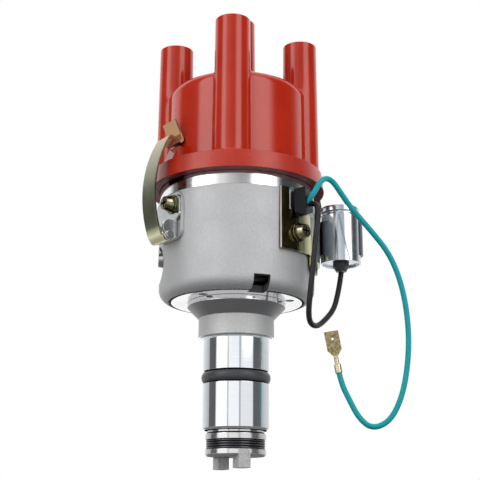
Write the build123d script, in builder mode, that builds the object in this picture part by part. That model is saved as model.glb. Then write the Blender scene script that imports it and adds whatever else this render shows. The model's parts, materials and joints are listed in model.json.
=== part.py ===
"""Ignition distributor with centrifugal advance, contact breaker, clipped cap and condenser.

Millimetres, +Z up.  The origin is on the drive shaft's axis at the lower shoulder of the neck,
the face that seats on the engine's clamp.  The side seen in the photograph faces -Y.
"""
import math
import os

from build123d import *

os.makedirs("parts", exist_ok=True)

UP = (Align.CENTER, Align.CENTER, Align.MIN)
SHEET_GAP = 0.05          # between pieces that are screwed or pressed together
RUNNING_GAP = 0.05        # radial, between a shaft and what turns on it
REST_GAP = 0.3            # between a moving piece and the seat that it rests above

# Housing: shank, neck, bowl
PILOT_RADIUS = 13.5
PILOT_LENGTH = 36.7
PILOT_CHAMFER = 0.8
COLLAR_RADIUS = 15.65
COLLAR_HEIGHT = 8.75
COLLAR_CHAMFER = 0.75
FLARE_RADIUS = 20.4
FLARE_TOP = 13.6
FACE_HEIGHT = 15.5
FACE_RADIUS = 27.3
CORNER_RADIUS = 5.2
BOWL_FOOT_RADIUS = 32.5
BOWL_RADIUS = 33.3
CAST_TOP = 57.5
BAND_RADIUS = 33.0
SKIRT_CLEARANCE = 0.25
RIM_HEIGHT = 65.8
BOWL_WALL = 3.0
BOWL_FLOOR = 3.0
BORE_RADIUS = 8.5
O_RING_HEIGHT = -15.6
O_RING_WIDTH = 4.6
O_RING_RADIUS = 14.16
O_RING_DEPTH = 3.2
GROOVE_SLACK = 0.3
VENT_AZIMUTH = -72.0
VENT_WIDTH = 6.8
VENT_TOP = 21.1
VENT_INNER_RADIUS = 23.7
NOTCH_AZIMUTH = -140.0
NOTCH_WIDTH = 10.4
NOTCH_BOTTOM = 61.5
DIMPLE_RADIUS = 1.9
DIMPLE_DEPTH = 2.0
DIMPLE_RING = 23.0
DIMPLE_AZIMUTHS = (-125.6, -18.6, 141.6)
PLUG_AZIMUTH = 186.0
PLUG_FLAT_RADIUS = 7.85
PLUG_FLAT_HEIGHT = 30.4
PLUG_FLAT_DISTANCE = 31.0
PLUG_FLAT_SHIFT = 2.3
PLUG_FLAT_RUN = 16.0
PLUG_HEIGHT = 34.0
PLUG_RADIUS = 2.6
PLUG_HEAD_RADIUS = 4.0
PLUG_HEAD = 2.0

# Cap
CAP_BOTTOM = 63.4
SKIRT_RADIUS = 37.2
SKIRT_TOP_RADIUS = 36.4
SKIRT_TOP = 70.8
DOME_FOOT_RADIUS = 30.1
DOME_TOP_RADIUS = 29.9
DOME_TOP = 109.4
DOME_ROUND = 5.0
CAP_BLEND = 1.2
CAP_WALL = 3.2
CAP_ROOF = 6.4
SPIGOT_DROP = 1.4
KEY_DROP = 0.8
KEY_SLACK = 1.0
TOWER_RING = 27.5
TOWER_TURN = -4.72
TOWER_RADIUS = 7.35
TOWER_FOOT_RADIUS = 7.8
TOWER_TOP = 131.25
CENTRE_TOWER_RADIUS = 7.5
CENTRE_TOWER_TOP = 143.5
SOCKET_RADIUS = 4.25
SOCKET_DEPTH = 20.0
COLUMN_RADIUS = 6.2
COLUMN_BOTTOM = 86.0
CENTRE_COLUMN_BOTTOM = 97.0
STUD_RADIUS = 2.75
STUD_DROP = 4.0
LUG_WIDTH = 7.0
LUG_HEIGHT = 77.8
LUG_SETBACK = 4.2
LUG_DEPTH = 3.3

# Clips that hold the cap
CLIP_AZIMUTH = 215.0
CLIP_WIDTH = 9.4
CLIP_SHEET = 0.9
STRIP_LEAN = 70.0
STRIP_CORNER = 4.2
STRIP_GAP = 1.3
STRIP_RISE = 2.6
CREST_RADIUS = 1.8
CREST_TURN = 87.0
SHELF_LENGTH = 3.3
HOOK_RADIUS = 0.8
HOOK_TURN = 143.0
HOOK_LENGTH = 8.5
PAD_DISTANCE = 33.4
PAD_WIDTH = 17.0
PAD_CORNER = 4.0
PAD_BOTTOM = 37.0
PAD_TOP = 57.0
BRACKET_SHEET = 1.0
BRACKET_WIDTH = 17.4
BRACKET_BOTTOM = 37.4
BRACKET_WAIST = 44.3
BRACKET_TOP = 56.0
BRACKET_CORNER = 4.4
WAIST_BLEND = 1.0
CLIP_PIN_RADIUS = 1.25
CLIP_PIN_HEIGHT = 38.2
CLIP_SCREW_HEIGHT = 51.8
CLIP_SCREW_SIDE = 3.4
EAR_SHEET = 1.0
EAR_RADIUS = 2.1
EAR_LOBE_RADIUS = 3.2
EAR_LOBE_RISE = 3.1
PIN_HEAD_LIP = 0.5
PIN_HEAD_SHEET = 0.7

# Screws
SCREW_RADIUS = 2.0
SCREW_HEAD_RADIUS = 3.2
SCREW_HEAD = 2.3
SCREW_LENGTH = 3.8
WASHER_RADIUS = 3.9
WASHER_SHEET = 0.7
SPLIT_WASHER_RADIUS = 3.3
SPLIT_WASHER_SHEET = 1.1

# Shaft and drive dog
SHAFT_RADIUS = 6.22
SPINDLE_RADIUS = 4.0
SPINDLE_TOP = 57.2
BUSH_LENGTH = 16.5
THRUST_WASHER = 0.8
THRUST_GAP = 0.15
DOG_RADIUS = 12.3
DOG_LENGTH = 9.2
DOG_GROOVE_DROP = 2.75
DOG_GROOVE_WIDTH = 4.0
DOG_GROOVE_DEPTH = 1.3
DOG_WIRE_RADIUS = 0.45
DOG_WIRE_TURNS = 4
DOG_PIN_RADIUS = 2.0
DOG_TURNED_EDGE = 0.6
DOG_WALL = 1.5
TANG_DROP = 4.9
TANG_WIDTH = 4.8
TANG_INNER = 6.4
TANG_AZIMUTH = 117.0
TANG_OFFSET = 2.07

# Centrifugal advance
PLATE_RADIUS = 24.0
PLATE_SHEET = 1.8
WEIGHT_PIVOT_RING = 16.0
WEIGHT_PIVOT_RADIUS = 2.0
WEIGHT_PIN_RING = 7.0
WEIGHT_PIN_RADIUS = 1.2
WEIGHT_THICKNESS = 4.0
WEIGHT_OUTER = 22.0
WEIGHT_INNER = 10.0
WEIGHT_ARM_HALF = 2.2
WEIGHT_BOSS = 3.6
WEIGHT_ENDS = (-8.0, -150.0)
YOKE_SHEET = 1.5
YOKE_GAP = 0.5
SLOT_SLACK = 0.15
SLOT_TRAVEL = 0.5
SPRING_POST_RADIUS = 1.0
BASE_POST_RING = 20.0
BASE_POST_AZIMUTH = 201.5
YOKE_POST_RING = 12.0
YOKE_POST_AZIMUTH = 150.0
SPRING_COIL_RADIUS = 1.5
SPRING_WIRE_RADIUS = 0.3
SPRING_EYE_SLACK = 0.1
SPRING_SHANK = 1.0
SPRING_END_CAP = 0.4

# Cam
CAM_HALF_WIDTH = 8.3
CAM_CORNER = 3.47
CAM_TIP_RADIUS = math.sqrt(2) * (CAM_HALF_WIDTH - CAM_CORNER) + CAM_CORNER
CAM_BOTTOM = 46.0
CAM_TOP = 54.5
CAM_SLEEVE_RADIUS = 6.6
CAM_NOSE_RADIUS = 6.8
CAM_NOSE_TOP = 62.0
COUNTERBORE_RADIUS = 5.2
COUNTERBORE_DEPTH = 4.4
CIRCLIP_SHEET = 0.8

# Breaker plate and points
BREAKER_PLATE_BOTTOM = 42.0
BREAKER_PLATE_SHEET = 1.5
BREAKER_PLATE_HOLE = 11.0
PLATE_WINDOW_RING = 20.0
PLATE_WINDOW_RADIUS = 3.2
PLATE_WINDOW_AZIMUTHS = (80.0, 140.0, 255.0)
PLATE_SCREW_RING = 27.0
PLATE_SCREW_AZIMUTHS = (20.0, 200.0)
PLATE_SCREW_RADIUS = 1.5
PLATE_SCREW_HEAD_RADIUS = 2.3
PLATE_SCREW_HEAD = 1.6
PLATE_SCREW_LENGTH = 5.0
BOSS_WIDTH = 7.0
BOSS_BOTTOM = 31.0
BOSS_INNER = 24.6
POINTS_PIVOT = (19.0, -13.0)
POINTS_PIVOT_RADIUS = 1.75
POINTS_PIVOT_TOP = 54.0
CONTACT_SHEET = 1.2
CONTACT_MARGIN = 3.6
CONTACT_LEFT = -19.0
CONTACT_FRONT_LEFT = -18.6
CONTACT_FRONT_RIGHT = -16.8
CONTACT_BACK = -9.6
CONTACT_WAIST = -12.2
CONTACT_WAIST_HALF = 8.5
CONTACT_SLANT = 2.5
CONTACT_HORN = 5.0
ARM_FACE = -12.0
ARM_SHEET = 1.5
ARM_BOTTOM = 47.2
ARM_TOP = 52.2
ARM_END = -16.5
ARM_BOSS_RADIUS = 3.2
BLOCK_HALF_WIDTH = 2.0
BLOCK_GAP = 0.1
POINT_X = -15.0
POINT_RADIUS = 1.5
POINT_SHEET = 0.7
POINT_GAP = 0.4
LOCK_SCREW = (-5.0, -15.4)
LOCK_SCREW_RADIUS = 1.2
TERMINAL = (15.0, -20.4)
TERMINAL_RADIUS = 2.2
TERMINAL_BORE = 1.0
TERMINAL_TOP = 49.5
TAB_SHEET = 0.5
LEAF_GAP = 0.4

# Rotor
ROTOR_RADIUS = 9.4
ROTOR_BOTTOM = 55.2
ROTOR_TOP = 82.6
ROTOR_TURN = 90.0 + TOWER_TURN
ROTOR_ARM_WIDTH = 10.0
ROTOR_ARM_DEPTH = 6.0
ROTOR_ARM_REACH = 22.6
BLADE_WIDTH = 6.0
BLADE_SHEET = 1.4
SPARK_GAP = 0.75
BRUSH_RADIUS = 2.4
BRUSH_LENGTH = 15.0
BRUSH_GAP = 0.1
BRUSH_BORE_ROOF = 4.0

# Grommet that the leads leave by: a neck through the bowl and a block outside it
GROMMET_AZIMUTH = -42.0
GROMMET_NECK_WIDTH = 8.2
GROMMET_NECK_HEIGHT = 8.2
GROMMET_MIDDLE = 53.3
GROMMET_INNER = 28.0
GROMMET_TOP = 58.2
GROMMET_LEFT_DROP = 0.6
GROMMET_RIGHT_DROP = 1.2
GROMMET_LEFT = (34.9, -48.8)
GROMMET_CORNER = (39.3, -45.8)
GROMMET_RIGHT = (36.3, -31.1)
GROMMET_BACK = (34.9, -31.5)
GROMMET_LEFT_BOTTOM = 48.2
GROMMET_TIP = 46.0
GROMMET_RIGHT_BOTTOM = 49.8

# Condenser and its strap
CONDENSER_CENTRE = (45.0, 9.0)
CONDENSER_RADIUS = 8.6
CONDENSER_BOTTOM = 35.0
CONDENSER_TOP = 60.2
CONDENSER_RECESS = 0.8
CONDENSER_SHEET = 1.0
CRADLE_BOTTOM = 38.8
CRADLE_TOP = 54.0
CRADLE_END = -22.0
STRAP_START = -59.0
STRAP_EAR_END = -52.4
STRAP_EAR_TOP = 58.0
STRAP_SHOULDER = 48.8
STRAP_BOTTOM = 32.3
TONGUE_AZIMUTH = -19.0
TONGUE_WIDTH = 10.0
TONGUE_BOTTOM = 25.4
CONDENSER_SCREW_AZIMUTH = -44.0
CONDENSER_SCREW_HEIGHT = 40.0
BOOT_RADIUS = 3.45
BOOT_DROP = 3.2

# Leads: the points of each route are chosen by hand
LEAD_RADIUS = 1.15
PRIMARY_LEAD_ROUTE = [
    (27.4, -24.7, 52.1), (30.0, -25.9, 54.5), (31.9, -26.6, 57.6), (33.6, -26.2, 60.7),
    (36.1, -24.9, 62.9), (39.2, -22.6, 62.0), (42.3, -20.2, 58.2), (47.0, -17.0, 52.4),
    (55.6, -12.4, 44.0), (63.2, -9.0, 35.4), (68.0, -6.6, 24.0), (70.4, -5.4, 10.2),
    (70.5, -5.0, -4.2), (68.3, -5.0, -18.5), (64.7, -5.2, -28.3), (60.2, -5.4, -34.0),
    (54.1, -5.6, -35.9), (49.2, -5.6, -31.8), (45.6, -5.3, -24.6), (42.4, -5.0, -17.6),
    (41.3, -5.0, -11.4),
]
CONDENSER_LEAD_ROUTE = [
    (28.6, -21.6, 52.7), (31.6, -22.8, 53.0), (32.9, -23.5, 50.2), (32.5, -24.0, 45.4),
    (31.6, -24.2, 37.6), (30.5, -23.6, 27.4), (29.4, -22.4, 17.0), (28.6, -19.4, 8.8),
    (29.4, -15.4, 4.6), (32.6, -10.8, 4.0), (36.8, -5.2, 8.2), (40.8, 0.6, 13.8),
    (42.9, 4.8, 21.0), (44.4, 8.2, 27.6), (45.0, 9.0, 31.45),
]
INNER_LEAD_SPREAD = 1.4

# Spade connector on the primary lead
SPADE_CRIMP_RADIUS = 1.5
SPADE_CRIMP = 3.5
SPADE_GRIP = 2.4
SPADE_NECK_RADIUS = 0.95
SPADE_NECK = 3.4
SPADE_TAPER = 2.5
SPADE_BODY = 7.8
SPADE_WIDTH = 5.8
SPADE_SHEET = 0.45
SPADE_CURL_RADIUS = 0.95
SPADE_HOLE_RADIUS = 0.55
SPADE_HOLE_DROP = 3.2


def polar(radius, azimuth):
    """The X and Y of a point at this distance from the shaft's axis."""
    turn = math.radians(azimuth)
    return radius * math.cos(turn), radius * math.sin(turn)


def side_plane(azimuth):
    """A plane through the axis: its X points outwards at this azimuth and its Y points up."""
    turn = math.radians(azimuth)
    return Plane((0, 0, 0), x_dir=(math.cos(turn), math.sin(turn), 0),
                 z_dir=(math.sin(turn), -math.cos(turn), 0))


def face_plane(azimuth, distance, height):
    """A plane that faces outwards: its X runs round the axis and its Y points up."""
    turn = math.radians(azimuth)
    return Plane((*polar(distance, azimuth), height), x_dir=(-math.sin(turn), math.cos(turn), 0),
                 z_dir=(math.cos(turn), math.sin(turn), 0))


def turned(points, mode=Mode.ADD):
    """A solid of revolution about the shaft's axis, from its outline as radius and height."""
    with BuildSketch(Plane.XZ) as section:
        with BuildLine():
            Polyline(*points, close=True)
        make_face()
    revolve(section.sketch, axis=Axis.Z, mode=mode)


def post(x, y, bottom, top, radius, mode=Mode.ADD):
    """An upright round pin, or the hole for one."""
    with Locations((x, y, bottom)):
        Cylinder(radius, top - bottom, align=UP, mode=mode)


def pan_screw(face, head_radius, head, radius, length):
    """A cross-recessed pan-head screw whose head stands on the plane."""
    with BuildSketch(face) as head_circle:
        Circle(head_radius)
    extrude(head_circle.sketch, amount=head, taper=12)
    with BuildSketch(face) as shank_circle:
        Circle(radius)
    extrude(shank_circle.sketch, amount=-length)
    with BuildSketch(face.offset(head)) as recess:
        Rectangle(1.3 * head_radius, 0.3 * head_radius)
        Rectangle(0.3 * head_radius, 1.3 * head_radius)
    extrude(recess.sketch, amount=-0.55 * head, mode=Mode.SUBTRACT)


def ring(face, outer, inner, sheet):
    """A flat washer on the plane."""
    with BuildSketch(face) as washer:
        Circle(outer)
        Circle(inner, mode=Mode.SUBTRACT)
    extrude(washer.sketch, amount=sheet)


def save(part, label):
    """Name a finished piece and write it."""
    part.label = label
    export_step(part, f"parts/{label}.step")


INNER_RADIUS = BAND_RADIUS - BOWL_WALL
FLOOR_TOP = FACE_HEIGHT + BOWL_FLOOR
GROOVE_RADIUS = O_RING_RADIUS - O_RING_DEPTH - 0.05
GROOVE_HALF = O_RING_WIDTH / 2 + GROOVE_SLACK
CLIP_AZIMUTHS = (CLIP_AZIMUTH, CLIP_AZIMUTH - 180)
CLIP_SCREW_SEAT = PAD_DISTANCE + BRACKET_SHEET
STRAP_RADIUS = BOWL_RADIUS + 0.1
CONDENSER_SCREW_SEAT = STRAP_RADIUS + CONDENSER_SHEET
PLATE_SCREW_SEAT = BREAKER_PLATE_BOTTOM + BREAKER_PLATE_SHEET

# Housing casting: turned outline, then flats, bosses and openings
with BuildPart() as housing:
    with BuildSketch(Plane.XZ):
        with BuildLine():
            corner_top = FACE_HEIGHT + CORNER_RADIUS
            outline = Polyline(
                (BORE_RADIUS, -PILOT_LENGTH),
                (PILOT_RADIUS - PILOT_CHAMFER, -PILOT_LENGTH),
                (PILOT_RADIUS, PILOT_CHAMFER - PILOT_LENGTH),
                (PILOT_RADIUS, O_RING_HEIGHT - GROOVE_HALF),
                (GROOVE_RADIUS, O_RING_HEIGHT - GROOVE_HALF),
                (GROOVE_RADIUS, O_RING_HEIGHT + GROOVE_HALF),
                (PILOT_RADIUS, O_RING_HEIGHT + GROOVE_HALF),
                (PILOT_RADIUS, 0),
                (COLLAR_RADIUS - COLLAR_CHAMFER, 0),
                (COLLAR_RADIUS, COLLAR_CHAMFER),
                (COLLAR_RADIUS, COLLAR_HEIGHT),
                (FLARE_RADIUS, FLARE_TOP),
                (FLARE_RADIUS, FACE_HEIGHT),
                (FACE_RADIUS, FACE_HEIGHT),
            )
            TangentArc(outline @ 1, (BOWL_FOOT_RADIUS, corner_top), tangent=(1, 0))
            Polyline(
                (BOWL_FOOT_RADIUS, corner_top),
                (BOWL_RADIUS, CAST_TOP),
                (BAND_RADIUS, CAST_TOP),
                (BAND_RADIUS, RIM_HEIGHT),
                (INNER_RADIUS, RIM_HEIGHT),
                (INNER_RADIUS, FLOOR_TOP),
                (BORE_RADIUS, FLOOR_TOP),
                (BORE_RADIUS, -PILOT_LENGTH),
            )
        make_face()
    revolve(axis=Axis.Z)
    for azimuth in CLIP_AZIMUTHS:
        with BuildSketch(face_plane(azimuth, INNER_RADIUS + 1, 0)):
            with Locations((0, (PAD_TOP + PAD_BOTTOM) / 2)):
                RectangleRounded(PAD_WIDTH, PAD_TOP - PAD_BOTTOM, PAD_CORNER)
        extrude(amount=PAD_DISTANCE - INNER_RADIUS - 1)
        with BuildSketch(face_plane(azimuth, PAD_DISTANCE, CLIP_SCREW_HEIGHT)):
            with Locations((CLIP_SCREW_SIDE, 0)):
                Circle(SCREW_RADIUS + SHEET_GAP)
        extrude(amount=-BOWL_WALL - 2, mode=Mode.SUBTRACT)
    for azimuth in PLATE_SCREW_AZIMUTHS:
        with BuildSketch(side_plane(azimuth)):
            with BuildLine():
                Polyline((BOSS_INNER, BREAKER_PLATE_BOTTOM), (INNER_RADIUS + 1, BREAKER_PLATE_BOTTOM),
                         (INNER_RADIUS + 1, BOSS_BOTTOM), (BOSS_INNER, BREAKER_PLATE_BOTTOM - 5),
                         close=True)
            make_face()
        extrude(amount=BOSS_WIDTH / 2, both=True)
        post(*polar(PLATE_SCREW_RING, azimuth), BREAKER_PLATE_BOTTOM - PLATE_SCREW_LENGTH,
             BREAKER_PLATE_BOTTOM, PLATE_SCREW_RADIUS + SHEET_GAP, mode=Mode.SUBTRACT)
    with BuildSketch(face_plane(VENT_AZIMUTH, VENT_INNER_RADIUS, (FACE_HEIGHT - 1 + VENT_TOP) / 2)):
        Rectangle(VENT_WIDTH, VENT_TOP - FACE_HEIGHT + 1)
    extrude(amount=BOWL_RADIUS - VENT_INNER_RADIUS + 1, mode=Mode.SUBTRACT)
    with BuildSketch(face_plane(NOTCH_AZIMUTH, INNER_RADIUS - 1, (NOTCH_BOTTOM + RIM_HEIGHT + 1) / 2)):
        Rectangle(NOTCH_WIDTH, RIM_HEIGHT + 1 - NOTCH_BOTTOM)
    extrude(amount=BOWL_WALL + 2, mode=Mode.SUBTRACT)
    for azimuth in DIMPLE_AZIMUTHS:
        post(*polar(DIMPLE_RING, azimuth), FACE_HEIGHT - 1, FACE_HEIGHT + DIMPLE_DEPTH,
             DIMPLE_RADIUS, mode=Mode.SUBTRACT)
    with BuildSketch(face_plane(PLUG_AZIMUTH, PLUG_FLAT_DISTANCE, PLUG_FLAT_HEIGHT)):
        with Locations((PLUG_FLAT_SHIFT, 0)):
            Circle(PLUG_FLAT_RADIUS)
            Rectangle(PLUG_FLAT_RUN, 2 * PLUG_FLAT_RADIUS, align=(Align.MAX, Align.CENTER))
    extrude(amount=BOWL_WALL, mode=Mode.SUBTRACT)
    with BuildSketch(face_plane(PLUG_AZIMUTH, INNER_RADIUS - 1, PLUG_HEIGHT)):
        Circle(PLUG_RADIUS + SHEET_GAP)
    extrude(amount=BOWL_WALL, mode=Mode.SUBTRACT)
    with BuildSketch(face_plane(GROMMET_AZIMUTH, INNER_RADIUS - 1, GROMMET_MIDDLE)):
        RectangleRounded(GROMMET_NECK_WIDTH, GROMMET_NECK_HEIGHT, 1.5)
    extrude(amount=BOWL_WALL + 3, mode=Mode.SUBTRACT)
    with BuildSketch(face_plane(CONDENSER_SCREW_AZIMUTH, INNER_RADIUS - 1, CONDENSER_SCREW_HEIGHT)):
        Circle(SCREW_RADIUS + SHEET_GAP)
    extrude(amount=BOWL_WALL + 3, mode=Mode.SUBTRACT)
save(housing.part, "distributor_housing")

with BuildPart() as side_plug:
    plug_seat = face_plane(PLUG_AZIMUTH, PLUG_FLAT_DISTANCE + SHEET_GAP, PLUG_HEIGHT)
    with BuildSketch(plug_seat) as plug_head:
        Circle(PLUG_HEAD_RADIUS)
    extrude(plug_head.sketch, amount=PLUG_HEAD, taper=10)
    with BuildSketch(plug_seat) as plug_shank:
        Circle(PLUG_RADIUS)
    extrude(plug_shank.sketch, amount=INNER_RADIUS - PLUG_FLAT_DISTANCE)
save(side_plug.part, "side_plug")

with BuildPart() as o_ring:
    with BuildSketch(Plane.XZ):
        with Locations((O_RING_RADIUS - O_RING_DEPTH / 2, O_RING_HEIGHT)):
            Ellipse(O_RING_DEPTH / 2, O_RING_WIDTH / 2)
    revolve(axis=Axis.Z)
save(o_ring.part, "o_ring")

BUSHES = {"upper_bushing": FLOOR_TOP - BUSH_LENGTH, "lower_bushing": -PILOT_LENGTH}
for bush_name, bush_bottom in BUSHES.items():
    with BuildPart() as bushing:
        post(0, 0, bush_bottom, bush_bottom + BUSH_LENGTH, BORE_RADIUS - SHEET_GAP / 2)
        post(0, 0, bush_bottom, bush_bottom + BUSH_LENGTH, SHAFT_RADIUS + RUNNING_GAP,
             mode=Mode.SUBTRACT)
    save(bushing.part, bush_name)

# Cap: a moulded shell with four towers round a taller one, and the columns that hold its studs
SEAT = RIM_HEIGHT + SHEET_GAP
LUG_REACH = SKIRT_TOP_RADIUS - LUG_SETBACK
CAVITY_RADIUS = DOME_TOP_RADIUS - CAP_WALL
CAVITY_FOOT = INNER_RADIUS - SHEET_GAP * 2 - CAP_WALL
SPIGOT_RADIUS = INNER_RADIUS - SHEET_GAP * 2
SPIGOT_BOTTOM = RIM_HEIGHT - SPIGOT_DROP
SOCKET_FLOOR = TOWER_TOP - SOCKET_DEPTH
CENTRE_SOCKET_FLOOR = CENTRE_TOWER_TOP - SOCKET_DEPTH
CAVITY_TOP = DOME_TOP - CAP_ROOF
STUD_BOTTOM = COLUMN_BOTTOM - STUD_DROP
TOWER_SPOTS = [polar(TOWER_RING, TOWER_TURN + quarter * 90) for quarter in range(4)]


def is_tower_foot(edge):
    """Whether an edge is where a tower meets the dome, the skirt or the roof."""
    middle = edge.position_at(0.5)
    if not SKIRT_TOP - 1 < middle.Z < DOME_TOP + SHEET_GAP:
        return False
    if edge.geom_type == GeomType.LINE:
        return False
    if math.hypot(middle.X, middle.Y) < CENTRE_TOWER_RADIUS + 0.5:
        return True
    reach = TOWER_FOOT_RADIUS + 0.3
    return any(math.hypot(middle.X - x, middle.Y - y) < reach for x, y in TOWER_SPOTS)


with BuildPart() as cavity:
    turned([(0, SPIGOT_BOTTOM - 1), (CAVITY_FOOT, SPIGOT_BOTTOM - 1), (CAVITY_RADIUS, CAVITY_TOP),
            (0, CAVITY_TOP)])
    for x, y in TOWER_SPOTS:
        post(x, y, COLUMN_BOTTOM, CAVITY_TOP + 1, COLUMN_RADIUS, mode=Mode.SUBTRACT)
    post(0, 0, CENTRE_COLUMN_BOTTOM, CAVITY_TOP + 1, COLUMN_RADIUS, mode=Mode.SUBTRACT)

with BuildPart() as cap:
    with BuildSketch(Plane.XZ):
        with BuildLine():
            Polyline((0, SPIGOT_BOTTOM), (SPIGOT_RADIUS, SPIGOT_BOTTOM), (SPIGOT_RADIUS, SEAT),
                     (BAND_RADIUS + SKIRT_CLEARANCE, SEAT), (BAND_RADIUS + SKIRT_CLEARANCE, CAP_BOTTOM),
                     (SKIRT_RADIUS, CAP_BOTTOM), (SKIRT_TOP_RADIUS, SKIRT_TOP),
                     (DOME_FOOT_RADIUS, SKIRT_TOP + 0.9), (DOME_TOP_RADIUS, DOME_TOP),
                     (0, DOME_TOP), close=True)
        dome = make_face()
        fillet(dome.vertices().group_by(Axis.Y)[-1].sort_by(Axis.X)[-1], DOME_ROUND)
        fillet(dome.vertices().sort_by_distance((SKIRT_TOP_RADIUS, SKIRT_TOP))[0], 0.9)
    revolve(axis=Axis.Z)
    for x, y in TOWER_SPOTS:
        with Locations((x, y, SKIRT_TOP - 2)):
            Cone(TOWER_FOOT_RADIUS, TOWER_RADIUS, TOWER_TOP - SKIRT_TOP + 2, align=UP)
    with Locations((0, 0, DOME_TOP - 2)):
        Cone(CENTRE_TOWER_RADIUS + 0.3, CENTRE_TOWER_RADIUS, CENTRE_TOWER_TOP - DOME_TOP + 2, align=UP)
    fillet([edge for edge in cap.edges() if is_tower_foot(edge)], CAP_BLEND)
    for azimuth in CLIP_AZIMUTHS:
        with BuildSketch(side_plane(azimuth)):
            with BuildLine():
                Polyline((LUG_REACH - LUG_DEPTH, SKIRT_TOP), (SKIRT_TOP_RADIUS - 1, SKIRT_TOP),
                         (LUG_REACH, LUG_HEIGHT), (LUG_REACH - LUG_DEPTH, LUG_HEIGHT), close=True)
            make_face()
        extrude(amount=LUG_WIDTH / 2, both=True)
    with BuildSketch(face_plane(NOTCH_AZIMUTH, SPIGOT_RADIUS - 1, SEAT)):
        Rectangle(NOTCH_WIDTH - 2 * KEY_SLACK, 2 * KEY_DROP)
    extrude(amount=BOWL_WALL + 2)
    add(cavity.part, mode=Mode.SUBTRACT)
    for x, y in TOWER_SPOTS:
        post(x, y, SOCKET_FLOOR, TOWER_TOP, SOCKET_RADIUS, mode=Mode.SUBTRACT)
        post(x, y, STUD_BOTTOM - SHEET_GAP, SOCKET_FLOOR, STUD_RADIUS + SHEET_GAP, mode=Mode.SUBTRACT)
    post(0, 0, CENTRE_SOCKET_FLOOR, CENTRE_TOWER_TOP, SOCKET_RADIUS, mode=Mode.SUBTRACT)
    post(0, 0, CENTRE_COLUMN_BOTTOM, CENTRE_SOCKET_FLOOR, STUD_RADIUS + 1 + SHEET_GAP,
         mode=Mode.SUBTRACT)
save(cap.part, "distributor_cap")

with BuildPart() as outer_terminals:
    for x, y in TOWER_SPOTS:
        post(x, y, STUD_BOTTOM, SOCKET_FLOOR, STUD_RADIUS)
save(outer_terminals.part, "outer_terminals")

BRUSH_BOTTOM = ROTOR_TOP + BLADE_SHEET + BRUSH_GAP
BRUSH_BORE_TOP = CENTRE_SOCKET_FLOOR - BRUSH_BORE_ROOF
with BuildPart() as centre_terminal:
    post(0, 0, CENTRE_COLUMN_BOTTOM, CENTRE_SOCKET_FLOOR, STUD_RADIUS + 1)
    post(0, 0, CENTRE_COLUMN_BOTTOM, BRUSH_BORE_TOP, BRUSH_RADIUS + RUNNING_GAP, mode=Mode.SUBTRACT)
save(centre_terminal.part, "centre_terminal")

with BuildPart() as carbon_brush:
    post(0, 0, BRUSH_BOTTOM, BRUSH_BOTTOM + BRUSH_LENGTH, BRUSH_RADIUS)
    fillet(carbon_brush.edges().group_by(Axis.Z)[0], 0.6)
save(carbon_brush.part, "carbon_brush")

with BuildPart() as brush_spring:
    spring_bottom = BRUSH_BOTTOM + BRUSH_LENGTH + SPRING_WIRE_RADIUS + SHEET_GAP
    spring_top = BRUSH_BORE_TOP - SPRING_WIRE_RADIUS - SHEET_GAP
    with BuildLine() as brush_coil:
        Helix((spring_top - spring_bottom) / 6, spring_top - spring_bottom, BRUSH_RADIUS - 0.5,
              center=(0, 0, spring_bottom))
    with BuildSketch(Plane(origin=brush_coil.line @ 0, z_dir=brush_coil.line % 0)):
        Circle(SPRING_WIRE_RADIUS)
    sweep()
save(brush_spring.part, "brush_spring")

# Clips: a bowed strip of spring steel that curls round its pin and hooks over the cap's lug
PIN_DISTANCE = PAD_DISTANCE + BRACKET_SHEET + REST_GAP + CLIP_PIN_RADIUS + RUNNING_GAP + CLIP_SHEET
CURL_RADIUS = CLIP_PIN_RADIUS + RUNNING_GAP + CLIP_SHEET
STRIP_TOP = (SKIRT_TOP_RADIUS + STRIP_GAP, LUG_HEIGHT + STRIP_RISE)

for side, azimuth in zip(("left", "right"), CLIP_AZIMUTHS):
    with BuildPart() as clip:
        with BuildSketch(side_plane(azimuth)):
            with BuildLine():
                foot = JernArc((PIN_DISTANCE, CLIP_PIN_HEIGHT - CURL_RADIUS), (1, 0), STRIP_CORNER,
                               STRIP_LEAN)
                bow = TangentArc(foot @ 1, STRIP_TOP, tangent=foot % 1)
                crest = JernArc(bow @ 1, bow % 1, CREST_RADIUS, CREST_TURN)
                shelf = Line(crest @ 1, crest @ 1 + (crest % 1) * SHELF_LENGTH)
                hook = JernArc(shelf @ 1, shelf % 1, HOOK_RADIUS, -HOOK_TURN)
                Line(hook @ 1, hook @ 1 + (hook % 1) * HOOK_LENGTH)
                offset(amount=CLIP_SHEET, side=Side.LEFT)
            make_face()
            with Locations((PIN_DISTANCE, CLIP_PIN_HEIGHT)):
                Circle(CURL_RADIUS)
                Circle(CURL_RADIUS - CLIP_SHEET, mode=Mode.SUBTRACT)
        extrude(amount=CLIP_WIDTH / 2, both=True)
    save(clip.part, f"cap_clip_{side}")

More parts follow.
